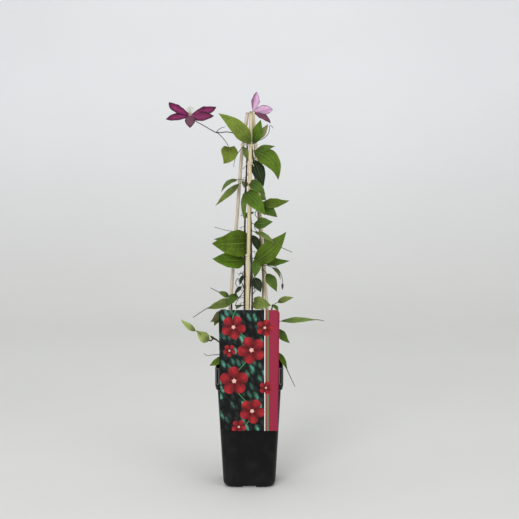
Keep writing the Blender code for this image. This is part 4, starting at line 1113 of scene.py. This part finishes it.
def make_soil(look):
    """The root ball: rounded squares down the sides, and a top raised by bumps of three sizes, with
    loose crumbs and fibres on it."""
    drawn = np.random.default_rng(SOIL_SEED)
    low, high = SOIL_BOX
    edge = high[0]
    foot = POT_FOOT - POT_WALL - SOIL_GAP
    shoulder = POT_SHOULDER - POT_WALL - SOIL_GAP
    side = [(2, low[2]), (foot, low[2]), (shoulder, SHOULDER_HEIGHT), (edge, COLLAR_HEIGHT + 1),
            (edge, SOIL_TOP - 3)]
    top = np.column_stack([np.linspace(edge - 1, 2, 46), np.full(46, SOIL_TOP)])
    line = np.vstack([spaced(np.array(side, float), 20), top])
    half, height = line.T
    corner = mix(FOOT_CORNER, POT_CORNER, np.clip(height / SHOULDER_HEIGHT, 0, 1)) - POT_WALL
    rings, _, _ = square_rings(half, np.minimum(corner, half * 0.9), height, 22, 14)
    on_top = (np.arange(len(line)) >= len(line) - len(top))[:, None]
    crown = SOIL_CROWN * (1 - (half / edge) ** 2)[:, None]
    rough = sum(rise * lumps(rings, size, seed) for rise, size, seed in SOIL_BUMPS)
    rings[..., 2] += on_top * (crown + 0.5 * rough)
    peat, fibre = np.array(look.peat), np.array(look.fibre)
    body = Body()
    body.skin(rings, peat)
    many = look.crumbs
    spots = drawn.uniform(-1, 1, (many, 2)) * (edge - 3)
    sizes = look.crumb_size / MM * drawn.lognormal(0, 0.45, many).clip(0.4, 1.8)
    angle = circle(7)
    tilt = np.array([-1.1, -0.4, 0.35, 1.05])[:, None]
    ball = np.stack([np.cos(tilt) * np.cos(angle), np.cos(tilt) * np.sin(angle),
                     np.sin(tilt) + 0 * angle], -1)
    for spot, size in zip(spots, sizes):
        shape = ball * (1 + drawn.uniform(-0.3, 0.3, ball.shape[:2])[..., None])
        shape = shape * size * drawn.uniform(0.6, 1.2, 3)
        body.skin(shape + (*spot, SOIL_TOP + 0.9), mix(peat, fibre, drawn.uniform(0, 0.8) ** 2))
    for _ in range(FIBRES):
        start = np.append(drawn.uniform(-1, 1, 2) * (edge - 8), SOIL_TOP + 1.2)
        way = np.append(drawn.uniform(-1, 1, 2) * 6, drawn.uniform(-0.3, 0.9))
        bend = start + way / 2 + np.append(drawn.uniform(-2, 2, 2), 0.6)
        route = bezier(start, bend, start + way, np.linspace(0, 1, 6)[:, None])
        body.skin(tube(route, np.full(6, FIBRE_RADIUS), 5), fibre * drawn.uniform(0.7, 1.6))
    body.make("soil_top", [peat_paint(look)], "peat", "soil")


def make_canes(look):
    """The canes: a circle carried along each route, swollen at its joints, with eased ends."""
    paint = cane_paint()
    routes = {"front": CANE_FRONT, "left": CANE_LEFT, "right": CANE_RIGHT}
    for number, (name, points) in enumerate(routes.items()):
        route = smooth_route(points, CANE_STEPS)
        height = route[:, 2]
        radii = CANE_RADIUS * np.linspace(1.0, 0.94, len(route))
        joint = sum(bell(height - place, 1.3) for place in CANE_JOINTS[name])
        ring = sum(bell(height - place - 1.6, 0.8) for place in CANE_JOINTS[name])
        radii = radii + (joint - 0.4 * ring) * look.joint_swell / MM
        radii = radii + 0.05 * lumps(route, 60, number)
        rings = tube(route, radii, 24)
        middle = (route[:, None] - rings) * 0.13
        rings = np.concatenate([rings[:1] + middle[:1] * 1.6, rings[:-1],
                                rings[-1:] + (0, 0, -0.5), rings[-1:] + middle[-1:]])
        tint = np.array(getattr(look, name)) * (1 - 0.35 * joint[:, None])
        start, end, share = CANE_GREYED[name]
        tint = mix(tint, np.array(look.top_grey), ease(start, end, height)[:, None] * share)
        tint = np.vstack([tint[:1], tint, tint[-1:]])
        body = Body()
        body.skin(rings, tint[:, None])
        body.make(f"cane_{name}_wood", [paint], "cane_wood", f"cane_{name}")


def hull_loop(centres, radii, height, count):
    """The tight loop round several circles: for each of many directions the furthest point of the
    circle that reaches furthest that way, then spaced evenly along the loop."""
    ways = np.column_stack([np.cos(circle(720)), np.sin(circle(720))])
    best = (ways @ centres.T + radii).argmax(1)
    loop = centres[best] + radii[best][:, None] * ways
    loop = np.vstack([loop, loop[:1]])
    walk = np.append(0, np.cumsum(np.linalg.norm(np.diff(loop, axis=0), axis=1)))
    even = np.linspace(0, walk[-1], count, endpoint=False)
    return np.column_stack([np.interp(even, walk, loop[:, 0]), np.interp(even, walk, loop[:, 1]),
                            np.full(count, height)]), walk[-1]


def strands(body, route, radius, turns, tint, loop):
    """Two strands wound round a route: each is a tube whose middle circles the route, half a
    turn behind the other."""
    if loop:
        heading = unit(np.roll(route, -1, 0) - np.roll(route, 1, 0))
        first = np.cross(heading, (0, 0, 1.0))
        second = np.cross(heading, first)
    else:
        heading, first, second = axes_along(route)
    share = np.arange(len(route)) / (len(route) - (0 if loop else 1))
    angle = circle(8)[None, :, None]
    for start in (0, np.pi):
        phase = (2 * np.pi * turns * share + start)[:, None]
        middle = route + 0.48 * radius * (first * np.cos(phase) + second * np.sin(phase))
        rings = middle[:, None] + 0.56 * radius * (first[:, None] * np.cos(angle)
                                                   + second[:, None] * np.sin(angle))
        body.skin(rings, tint, loop=loop)


def route_at(points, height):
    """Where a cane's or stem's middle line passes a height, seen from above."""
    route = smooth_route(points, CANE_STEPS)
    return route[np.abs(route[:, 2] - height).argmin(), :2]


def make_ties(look):
    """The twine round the canes and the small tie: two wound strands along the tight loop, a knot
    that follows a trefoil, and two cut ends."""
    three = np.array([route_at(p, TWINE_HEIGHT) for p in (CANE_FRONT, CANE_LEFT, CANE_RIGHT)])
    two = np.array([route_at(CANE_FRONT, TIE_HEIGHT), route_at(VINE_LEFT[0]["route"], TIE_HEIGHT)])
    ties = (
        ("cane_tie", three, np.full(3, CANE_RADIUS), TWINE_HEIGHT, TWINE_RADIUS, TWINE_KNOT,
         look.twine),
        ("stem_tie", two, np.array([CANE_RADIUS, TIED_STEM_RADIUS]), TIE_HEIGHT, WIRE_RADIUS,
         TIE_KNOT, look.small),
    )
    for name, centres, radii, height, thick, knot, tint in ties:
        body = Body()
        loop, walk = hull_loop(centres, radii + thick + LOOP_SLACK, height, 260)
        strands(body, loop, thick, round(walk / (look.pitch / MM)), tint, True)
        seat = loop[np.linalg.norm(loop[:, :2] - knot, axis=1).argmin()] + (0, -thick, 0)
        t = circle(60)[:, None]
        trefoil = np.hstack([np.sin(t) + 2 * np.sin(2 * t), -1.1 * np.sin(3 * t),
                             np.cos(t) - 2 * np.cos(2 * t)]) * thick * 0.42
        strands(body, seat + trefoil, thick * 0.8, 12, tint, True)
        for side in (-1, 1):
            out, front, drop = CUT_END
            end = seat + (side * out, front + thick, drop - side)
            route = bezier(seat, seat + (side * out * 0.7, front, 0.6), end,
                           np.linspace(0, 1, 24)[:, None])
            strands(body, route, thick * 0.8, 3, tint, False)
        body.make(name + "_twine", [uneven_paint(name + "_fibre", 0.85, 3400, 0.3)], "twine", name)


def make_label(look):
    """The printed plate: flat loops from foot to top whose half width grows evenly and then follows
    the round corners, and a strap that hooks over the pot's rim."""
    (_, front, foot), (top_half, _, top) = LABEL_BOX
    round_from = top - LABEL_CORNER
    height = np.concatenate([foot + np.array([0, 0.4, 1.5]), np.linspace(foot + 6, round_from, 40),
                             round_from + LABEL_CORNER * np.sin(np.linspace(0.1, 1.5708, 14))])
    half = mix(LABEL_FOOT / 2, top_half, (height - foot) / (top - foot))
    over = np.clip((height - round_from) / LABEL_CORNER, 0, 1)
    half = half - LABEL_CORNER * (1 - np.sqrt(1 - over ** 2))
    half[:2] -= (1.2, 0.4)
    x = half[:, None] * np.linspace(-1, 1, 32)
    face = np.stack([x, np.full_like(x, front), np.broadcast_to(height[:, None], x.shape)], -1)
    rear = face[:, ::-1] + (0, LABEL_THICK, 0)
    rim = 0.12
    face[:, [0, -1], 1] += rim
    rear[:, [0, -1], 1] -= rim
    body = Body()
    body.skin(np.concatenate([face, rear], 1), (0.5, 0.5, 0.5))
    over_rim = POT_HEIGHT + SOIL_GAP + LABEL_THICK / 2
    inner = -(POT_COLLAR - POT_WALL) + SOIL_GAP + LABEL_THICK / 2
    back = front + LABEL_THICK - 0.4
    route = rounded_profile([(back, over_rim), (inner, over_rim), (inner, TONGUE_LOW)], 0.8)
    line = np.column_stack([np.zeros(len(route)), route])
    normal = np.cross(unit(np.gradient(line, axis=0)), (1.0, 0, 0))
    steps = np.array([(-1, -1), (1, -1), (1, 1), (-1, 1)])
    rings = (line[:, None] + steps[None, :, :1] * np.array((TONGUE_WIDTH / 2, 0, 0))
             + steps[None, :, 1:] * normal[:, None] * LABEL_THICK / 2)
    body.skin(rings, (0.5, 0.5, 0.5))
    plate = body.make("label_plate", [label_paint(look), label_back_paint()], "label_plastic",
                      "label")
    normals = np.empty(len(plate.data.polygons) * 3, np.float32)
    plate.data.polygons.foreach_get("normal", normals)
    printed = normals.reshape(-1, 3)[:, 1] < -0.5
    plate.data.polygons.foreach_set("material_index", np.where(printed, 0, 1).astype(np.int32))
    plate.data.set_sharp_from_angle(angle=math.radians(40))


def half_width(t, kind):
    """Half of the blade's width at t, as a share of the widest: a quarter sine wave from the base
    to the widest place, and from there a power of a cosine to the tip."""
    widest, base, point, lobe = OUTLINES[kind]
    low = base + (1 - base) * np.sin(np.pi / 2 * np.minimum(t / widest, 1))
    high = np.cos(np.pi / 2 * np.clip((t - widest) / (1 - widest), 0, 1)) ** point
    rounding = 1.0 if lobe > 0.1 else np.sqrt(1 - (1 - np.minimum(t / 0.07, 1)) ** 2)
    return np.where(t < widest, low, high) * rounding


def midrib(spec, t):
    """Place and heading of the blade's midrib at t: a quadratic curve over the line from base to
    tip, raised by arch and pushed aside by bow."""
    base, tip, face = (np.array(spec[key], float) for key in ("base", "tip", "face"))
    chord = tip - base
    size = np.linalg.norm(chord)
    up = unit(across(face, chord / size))
    side = np.cross(chord / size, up)
    bend = (base + tip) / 2 + 2 * size * (up * spec["arch"] + side * spec["bow"])
    t = np.reshape(t, (-1, 1))
    return bezier(base, bend, tip, t), unit(2 * (1 - t) * (bend - base) + 2 * t * (tip - bend))


def add_blade(body, spec, thickness, relief, tints, seed, paint):
    """A thin blade: at each step along the midrib a flat loop, over the upper side and back under
    the lower, as wide as the outline, folded and rippled as the solid is, with waves along the
    edge and the given relief."""
    size = math.dist(spec["base"], spec["tip"])
    share = np.linspace(0, 1, int(np.clip(size / 1.2, 18, 42)))
    t = mix(share, 0.5 - 0.5 * np.cos(np.pi * share), 0.5)
    half_columns = np.array(HALF_COLUMNS)
    v = np.concatenate([-half_columns[:0:-1], half_columns])
    place, heading = midrib(spec, t)
    up = unit(across(np.broadcast_to(np.array(spec["face"], float), heading.shape), heading))
    side = np.cross(heading, up)
    kind = spec["kind"]
    half = (np.maximum(half_width(t, kind), 0.01) * spec["width"] / 2)[:, None]
    t, v = t[:, None], v[None]
    wide = np.abs(v)
    ripple = RIPPLE[0] * np.sin(RIPPLE[1] * t + RIPPLE[2] * v)
    wave = EDGE_WAVE[0] * np.sin(2 * np.pi * EDGE_WAVE[1] * t + seed + 2 * v) * wide ** 2
    rise = (spec["fold"] + ripple + wave) * wide * half
    back = OUTLINES[kind][3] * spec["width"] * wide * (1 - t) ** 4
    middle = (place[:, None] + side[:, None] * (v * half)[..., None] - heading[:, None]
              * back[..., None])
    thick = thickness / 2 * np.sqrt(1 - wide ** 4)
    above, below = relief(v, t, half)
    top = middle + up[:, None] * (rise + thick + above)[..., None]
    under = middle + up[:, None] * (rise - thick + below)[..., None]
    shape = np.broadcast_to(v, rise.shape)
    spots = np.stack([shape, np.broadcast_to(t, rise.shape), np.ones_like(rise)], -1)
    upper, lower = tints(v, t)
    rings = np.concatenate([top, under[:, -2:0:-1]], 1)
    colours = np.concatenate([upper, lower[:, -2:0:-1]], 1)
    places = np.concatenate([spots, spots[:, -2:0:-1] * (1, 1, -1)], 1)
    body.skin(rings, colours, places, paint)


def leaf_relief(depth):
    """The relief of a leaf: grooves over the midrib and the two side veins, cushions between the
    slanting veins, and a ridge under the midrib that thins out to the tip."""
    def relief(v, t, half):
        wide = np.abs(v)
        inner = 1 - wide ** 4
        lateral = bell(wide - SIDE_VEIN, 0.045) * (1 - t) ** 0.5
        cushions = 0.035 * half * np.cos(2 * np.pi * (9 * (t - 0.22 * wide) + 0.5)) * inner
        cushions = cushions * (1 - bell(v, 0.12))
        groove = depth * (bell(v, 0.06) + 0.55 * lateral)
        ridge = 1.6 * depth * bell(v, 0.07) * (1 - 0.8 * t) + 0.5 * depth * lateral
        return cushions - groove * inner, cushions - ridge * inner
    return relief


def sepal_relief(height):
    """The relief of a sepal: three ribs that stand out of its back and lie in its face, and fine
    pleats beside them."""
    def relief(v, t, half):
        ribs = bell(v, 0.06) + 0.8 * bell(np.abs(v) - 0.2, 0.05) * ease(1.0, 0.6, t)
        pleats = 0.25 * np.cos(2 * np.pi * 5 * v) * ease(0.0, 0.3, t)
        shift = -height * (ribs + pleats) * (1 - np.abs(v) ** 4)
        return shift, shift * 1.3
    return relief


def leaf_tints(look, tone, seed):
    """The tints of a leaf: its tone, darker towards the stalk as painted shade from the leaves
    around it, a little lighter at the edge and brown at the very tip, and a duller lighter
    underside."""
    drawn = np.random.default_rng(seed)
    own = np.array(getattr(look, tone)) * drawn.uniform(0.92, 1.08, 3)

    def tints(v, t):
        wide, t = np.broadcast_arrays(np.abs(v)[..., None], t[..., None])
        # Painted shade: the blade is darkened towards the stalk, where the leaves around it shade
        # it.
        light = mix(0.55, 1.12, ease(0.0, 0.55, t)) * mix(0.88, 1.15, wide ** 2)
        upper = mix(own * light, np.array(look.brown), ease(0.94, 1.0, t) * 0.75)
        lower = mix(upper, np.array(look.underside) * own.mean() / 0.11, 0.45)
        return upper, lower
    return tints


def stalk_route(start, spec):
    """The leaf stalk's curve from the stem into the start of the blade: a quadratic curve that
    leans on a given point, or else on one behind the blade, on the line of its midrib."""
    base, heading = midrib(spec, 0.0)
    end, _ = midrib(spec, 0.05)
    reach = np.linalg.norm(base[0] - start)
    bend = np.array(spec["via"]) if spec["via"] else base[0] - heading[0] * STALK_BEND * reach
    route = bezier(start, bend, base[0], np.linspace(0, 1, 14)[:, None])
    return np.vstack([route, end])


def curled(start, way):
    """A tendril's route: straight on from the start, and wound ever wider round that line."""
    t = np.linspace(0, 1, 49)[:, None]
    heading = way / np.linalg.norm(way)
    first = unit(across(np.array([0.3, -0.2, 1.0]), heading))
    angle = 2 * np.pi * CURL_TURNS * t
    size = CURL_WIDTH * np.linalg.norm(way) * ease(0.1, 0.9, t)
    return start + way * t + size * (first * np.sin(angle)
                                     + np.cross(heading, first) * (1 - np.cos(angle)) * 0.6)


def make_stems(leaf_look, stem_look):
    """Each leafy stem: ribbed tubes along its limbs, swollen where leaves grow, thin stalks, and
    veined blades."""
    leaf_skin = leaf_paint(leaf_look)
    stem_skin = stem_paint()
    young, old, thread = (np.array(c) for c in (stem_look.young, stem_look.old, stem_look.thread))
    brown_height = stem_look.brown_height / MM
    seed = 0
    for name, limbs in STEMS.items():
        body = Body()
        for limb in limbs:
            route = smooth_route(limb["route"], STEM_STEPS)
            radii = np.linspace(*limb["radii"], len(route))
            dark = limb.get("dark", False)
            if dark:
                radii = radii * np.linspace(0.9, 0.75, len(route))
            leaves = limb.get("leaves", ())
            starts = [route[np.abs(route[:, limb["axis"]] - spec["node"]).argmin()]
                      for spec in leaves]
            for start in starts:
                away = np.linalg.norm(route - start, axis=1)
                radii = radii + NODE_SWELL[0] * bell(away, NODE_SWELL[1])
            height = route[:, 2][:, None, None]
            tint = mix(old, young, ease(brown_height - 130, brown_height + 90, height))
            if "skin" in limb:
                tint = np.array(getattr(stem_look, limb["skin"]))
            tint = thread if dark else tint
            body.skin(tube(route, radii, 12, STEM_RIBS), tint)
            for spec, start in zip(leaves, starts):
                seed += 1
                stalk = stalk_route(start, spec)
                stalk_tint = mix(young, old, ease(360, 260, stalk[:, 2])[:, None, None] * 0.6)
                body.skin(tube(stalk, np.linspace(STALK_RADIUS, STALK_END, len(stalk)), 8, 0.05),
                          stalk_tint)
                add_blade(body, spec, leaf_look.thickness / MM,
                          leaf_relief(leaf_look.vein_depth / MM),
                          leaf_tints(leaf_look, spec["tone"], seed), seed, 1)
                if spec["tail"]:
                    turn = midrib(spec, TAIL_START)[0][0]
                    tail = smooth_route([turn, spec["tip"], spec["tail"]], STEM_STEPS)
                    own = np.array(getattr(leaf_look, spec["tone"])) * 0.8
                    share = np.linspace(0, 1, len(tail))[:, None, None]
                    tint = mix(own, np.array(leaf_look.brown) * 0.7, ease(0.45, 1.0, share))
                    body.skin(tube(tail, np.linspace(1.0, 0.5, len(tail)), 8), tint)
            for at, way in limb.get("curls", ()):
                start = route[np.abs(route[:, limb["axis"]] - at).argmin()]
                body.skin(tube(curled(start, np.array(way, float)), np.linspace(0.5, 0.3, 49), 6),
                          thread)
        body.make(name + "_foliage", [stem_skin, leaf_skin], "leafy_stem", name)


def sepal_tints(look, grey, strip):
    """The tints of a sepal: a dark edge and a brighter middle bar on the face, greyed by the grey
    share as a painted sheen, and a pale back with a dark edge and perhaps a dark strip on one side."""
    face, edge, bar, dull, back, back_bar, back_edge = (np.array(c) for c in (
        look.face, look.edge, look.bar, look.grey, look.back, look.back_bar, look.back_edge))

    def tints(v, t):
        wide, t = np.broadcast_arrays(np.abs(v)[..., None], t[..., None])
        upper = mix(face, bar, bell(wide, 0.30) * 0.8 * ease(1.0, 0.5, t))
        # Painted sheen: the face is greyed by the grey share.
        upper = mix(upper, dull, grey)
        upper = mix(upper, edge, ease(0.55, 0.98, wide) * 0.85)
        upper = mix(upper, edge, ease(0.80, 1.0, t) * 0.7)
        lower = mix(back, back_bar, bell(wide, 0.18) * 0.8)
        lower = mix(lower, back_edge, ease(0.05, 0.6, strip * v)[..., None] * 0.75)
        lower = mix(lower, back_edge, ease(0.76, 0.98, wide) * 0.9)
        return upper, lower
    return tints


def frame_round(face):
    """The way the bloom looks at length 1, and two unit vectors square to it."""
    face = unit(np.array(face, float))
    first = unit(np.cross(face, (1.0, 0, 0) if abs(face[0]) < 0.9 else (0, 1.0, 0)))
    return face, first, np.cross(face, first)


def make_blooms(look):
    """Each bloom: ribbed sepals round a turned disc, and a tuft of threads that lean out evenly,
    by the golden angle, each with a long tip."""
    petal_skin = sepal_paint()
    thread_skin = uneven_paint("stamen_thread", 0.6, 700, 0.1)
    for name, spec, slot in (("bloom_left", BLOOM_LEFT, "sepal_purple"),
                             ("bloom_right", BLOOM_RIGHT, "sepal_lilac")):
        middle = np.array(spec["middle"], float)
        face, first, second = frame_round(spec["face"])
        body = Body()
        angle = circle(20)[None, :, None]
        around = first * np.cos(angle) + second * np.sin(angle)
        radius = np.array([0.7, 0.95, 1, 1.2, 1.45, 1.3, 0.9])[:, None, None] * DISC_RADIUS
        along = np.array([-0.5, -0.48, -0.3, 0.0, 0.3, 0.46, 0.5])[:, None, None] * DISC_DEPTH
        body.skin(middle + around * radius + face * along,
                  mix(np.array(look.back), np.array(DISC_GREEN), 0.5))
        for number, (tip, sepal_face, width, bow, grey, strip) in enumerate(spec["sepals"]):
            start = middle + unit(np.array(tip, float) - middle) * SEPAL_START
            petal = dict(base=start, tip=tip, face=sepal_face, width=width, kind="sepal",
                         arch=0.05, fold=0.10, bow=bow)
            add_blade(body, petal, SEPAL_THICK, sepal_relief(look.rib_height / MM),
                      sepal_tints(look, grey, strip), 3 * number, 0)
        body.make(name + "_sepals", [petal_skin], slot, name)

        tuft = Body()
        seat = middle + face * (DISC_DEPTH / 2 + 0.6)
        dome = np.array([1.6, 1.9, 1.7, 1.0, 0.3])[:, None, None]
        rise = np.array([0.0, 0.8, 1.8, 2.7, 3.1])[:, None, None]
        tuft.skin(seat + around * dome + face * rise, np.array(look.filament) * 0.8)
        steps = np.linspace(0, 1, 9)[:, None]
        for number in range(look.stamens):
            turn = number * GOLDEN_ANGLE
            lean = 0.72 * math.sqrt((number + 0.5) / look.stamens)
            out = first * math.cos(turn) + second * math.sin(turn)
            start = seat + out * (0.4 + 2.0 * lean) + face * 0.8
            end = seat + unit(face + out * lean) * STAMEN_LENGTH * (1.08 - 0.22 * lean)
            route = bezier(start, (start + end) / 2 + out * 0.7, end, steps)
            anther = ease(0.66, 0.80, steps)[..., None]
            radii = STAMEN_RADIUS + 0.09 * anther[:, 0, 0] * ease(1.02, 0.94, steps[:, 0])
            tuft.skin(tube(route, radii, 6),
                      mix(np.array(look.filament), np.array(look.anther), anther))
        tuft.make(name + "_tuft", [thread_skin], "stamen_cream", name + "_stamens")


def make_bud(look):
    """The nodding bud: a pointed egg whose round section has four soft ridges that turn a little on
    the way down, under a small cap where the stalk joins it, with short down all over."""
    low, high = BUD_BOX
    middle = (low + high) / 2
    drop = high[2] - low[2]
    radius = (high[0] - low[0]) / 2
    t = np.linspace(0, 1, 28)[:, None, None]
    angle = circle(32)[None, :, None]
    size = radius * np.sin(np.pi * np.clip(t, 0.02, 0.985) ** 0.75) ** 0.75 * (1 - 0.25 * t)
    size = size * (1 + 0.07 * np.cos(4 * (angle + 0.5 * t)))
    rings = np.concatenate([middle[0] - size * np.cos(angle), middle[1] + size * np.sin(angle),
                            high[2] - drop * t + 0 * angle], -1)
    tip = mix(np.array(look.bud), np.array(BUD_TIP), ease(0.7, 1.0, t))
    cap = mix(tip, np.array(BUD_CAP), ease(0.15, 0.0, t))
    body = Body()
    body.skin(rings, cap)
    drawn = np.random.default_rng(BUD_SEED)
    axis = np.array((middle[0], middle[1], 0))
    for row, column in drawn.integers((3, 0), (25, 32), (BUD_HAIRS, 2)):
        start = rings[row, column]
        out = unit((start - axis) * (1, 1, 0) + (0, 0, -0.6))
        route = start + out * np.linspace(-0.1, 0.45, 3)[:, None]
        body.skin(tube(route, np.array([0.05, 0.04, 0.015]), 3), BUD_DOWN)
    body.make("bud_sepals", [uneven_paint("bud_down", 0.7, 700, 0.4)], "bud_dark", "bud")


def make_stage(look):
    """The floor that curves up by a quarter circle into a backdrop, four large lights that each
    shine on a point, the room's own light and the camera at the photograph's viewing angle."""
    scene = bpy.context.scene
    run = np.linspace(0, np.pi / 2, 24)
    curve = np.column_stack([FLOOR_BEND + FLOOR_CURVE * np.sin(run),
                             FLOOR_CURVE - FLOOR_CURVE * np.cos(run)])
    side = np.vstack([[(FLOOR_FRONT, 0.0)], curve, [(FLOOR_BEND + FLOOR_CURVE, BACKDROP_TOP)]])
    points = np.stack([np.column_stack([np.full(len(side), x), side])
                       for x in (-FLOOR_HALF, FLOOR_HALF)], 1)
    index = np.arange(len(side) * 2).reshape(-1, 2)
    quads = np.stack([index[:-1, 0], index[:-1, 1], index[1:, 1], index[1:, 0]], -1)
    mesh = bpy.data.meshes.new("floor")
    mesh.from_pydata(points.reshape(-1, 3), [], quads.tolist())
    mesh.materials.append(floor_paint(look))
    mesh.shade_smooth()
    floor = bpy.data.objects.new("floor", mesh)
    scene.collection.objects.link(floor)

    for name, (strength, size, place, aim) in LIGHTS.items():
        lamp = bpy.data.lights.new(name, "AREA")
        lamp.energy = getattr(look, strength)
        lamp.size = size
        obj = bpy.data.objects.new(name, lamp)
        obj.location = place
        way = np.array(aim, float) - place
        flat = math.hypot(way[0], way[1])
        obj.rotation_euler = (math.atan2(flat, -way[2]), 0, math.atan2(-way[0], way[1]))
        scene.collection.objects.link(obj)

    world = bpy.data.worlds.new("room")
    world.use_nodes = True
    back = world.node_tree.nodes["Background"]
    back.inputs["Color"].default_value = (*look.room, 1)
    back.inputs["Strength"].default_value = look.room_strength
    scene.world = world
    scene.view_settings.view_transform = "Standard"

    lens = bpy.data.cameras.new("camera")
    lens.sensor_width = SENSOR
    lens.lens = look.camera_lens
    camera = bpy.data.objects.new("camera", lens)
    camera.location = (look.camera_side, -look.camera_distance, look.camera_height)
    camera.rotation_euler = (math.pi / 2 - look.camera_tilt, 0, 0)
    scene.collection.objects.link(camera)
    scene.camera = camera


class CLEMATIS_OT_stage(bpy.types.Operator):
    """Adds the floor, the lights and the camera"""

    bl_idname = "clematis.stage"
    bl_label = "Stage"

    def execute(self, context):
        make_stage(context.scene.clematis_stage)
        return {"FINISHED"}


class CLEMATIS_OT_pot(bpy.types.Operator):
    """Builds the moulded pot"""

    bl_idname = "clematis.pot"
    bl_label = "Pot"

    def execute(self, context):
        make_pot(context.scene.clematis_pot)
        return {"FINISHED"}


class CLEMATIS_OT_soil(bpy.types.Operator):
    """Builds the crumbly soil"""

    bl_idname = "clematis.soil"
    bl_label = "Soil"

    def execute(self, context):
        make_soil(context.scene.clematis_soil)
        return {"FINISHED"}


class CLEMATIS_OT_canes(bpy.types.Operator):
    """Builds the three canes"""

    bl_idname = "clematis.canes"
    bl_label = "Canes"

    def execute(self, context):
        make_canes(context.scene.clematis_canes)
        return {"FINISHED"}


class CLEMATIS_OT_ties(bpy.types.Operator):
    """Winds the twine round the canes and the small tie"""

    bl_idname = "clematis.ties"
    bl_label = "Ties"

    def execute(self, context):
        make_ties(context.scene.clematis_twine)
        return {"FINISHED"}


class CLEMATIS_OT_label(bpy.types.Operator):
    """Builds the printed label"""

    bl_idname = "clematis.label"
    bl_label = "Label"

    def execute(self, context):
        make_label(context.scene.clematis_label)
        return {"FINISHED"}


class CLEMATIS_OT_stems(bpy.types.Operator):
    """Grows the stems, tendrils and leaves"""

    bl_idname = "clematis.stems"
    bl_label = "Leafy stems"

    def execute(self, context):
        make_stems(context.scene.clematis_leaves, context.scene.clematis_stems)
        return {"FINISHED"}


class CLEMATIS_OT_blooms(bpy.types.Operator):
    """Opens the two blooms"""

    bl_idname = "clematis.blooms"
    bl_label = "Blooms"

    def execute(self, context):
        make_blooms(context.scene.clematis_blooms)
        return {"FINISHED"}


class CLEMATIS_OT_bud(bpy.types.Operator):
    """Hangs the closed bud"""

    bl_idname = "clematis.bud"
    bl_label = "Bud"

    def execute(self, context):
        make_bud(context.scene.clematis_blooms)
        return {"FINISHED"}


OPERATORS = (CLEMATIS_OT_stage, CLEMATIS_OT_pot, CLEMATIS_OT_soil, CLEMATIS_OT_canes,
             CLEMATIS_OT_ties, CLEMATIS_OT_label, CLEMATIS_OT_stems, CLEMATIS_OT_blooms,
             CLEMATIS_OT_bud)


class CLEMATIS_PT_pieces(bpy.types.Panel):
    """Lists the pieces of the plant and the stage"""

    bl_idname = "CLEMATIS_PT_pieces"
    bl_label = "Potted Clematis"
    bl_space_type = "VIEW_3D"
    bl_region_type = "UI"
    bl_category = "Clematis"

    def draw(self, context):
        for operator in OPERATORS:
            self.layout.operator(operator.bl_idname)


def register():
    """Adds the property groups, operators and panel to Blender."""
    for look in LOOKS.values():
        bpy.utils.register_class(look)
    for name, look in LOOKS.items():
        setattr(bpy.types.Scene, name, PointerProperty(type=look))
    for kind in (*OPERATORS, CLEMATIS_PT_pieces):
        bpy.utils.register_class(kind)


def unregister():
    """Removes them again."""
    for kind in (CLEMATIS_PT_pieces, *reversed(OPERATORS)):
        bpy.utils.unregister_class(kind)
    for name in LOOKS:
        delattr(bpy.types.Scene, name)
    for look in reversed(LOOKS.values()):
        bpy.utils.unregister_class(look)


def main():
    """Builds every piece and the stage."""
    register()
    bpy.ops.clematis.stage()
    bpy.ops.clematis.pot()
    bpy.ops.clematis.soil()
    bpy.ops.clematis.canes()
    bpy.ops.clematis.ties()
    bpy.ops.clematis.label()
    bpy.ops.clematis.stems()
    bpy.ops.clematis.blooms()
    bpy.ops.clematis.bud()


if __name__ == "__main__":
    main()
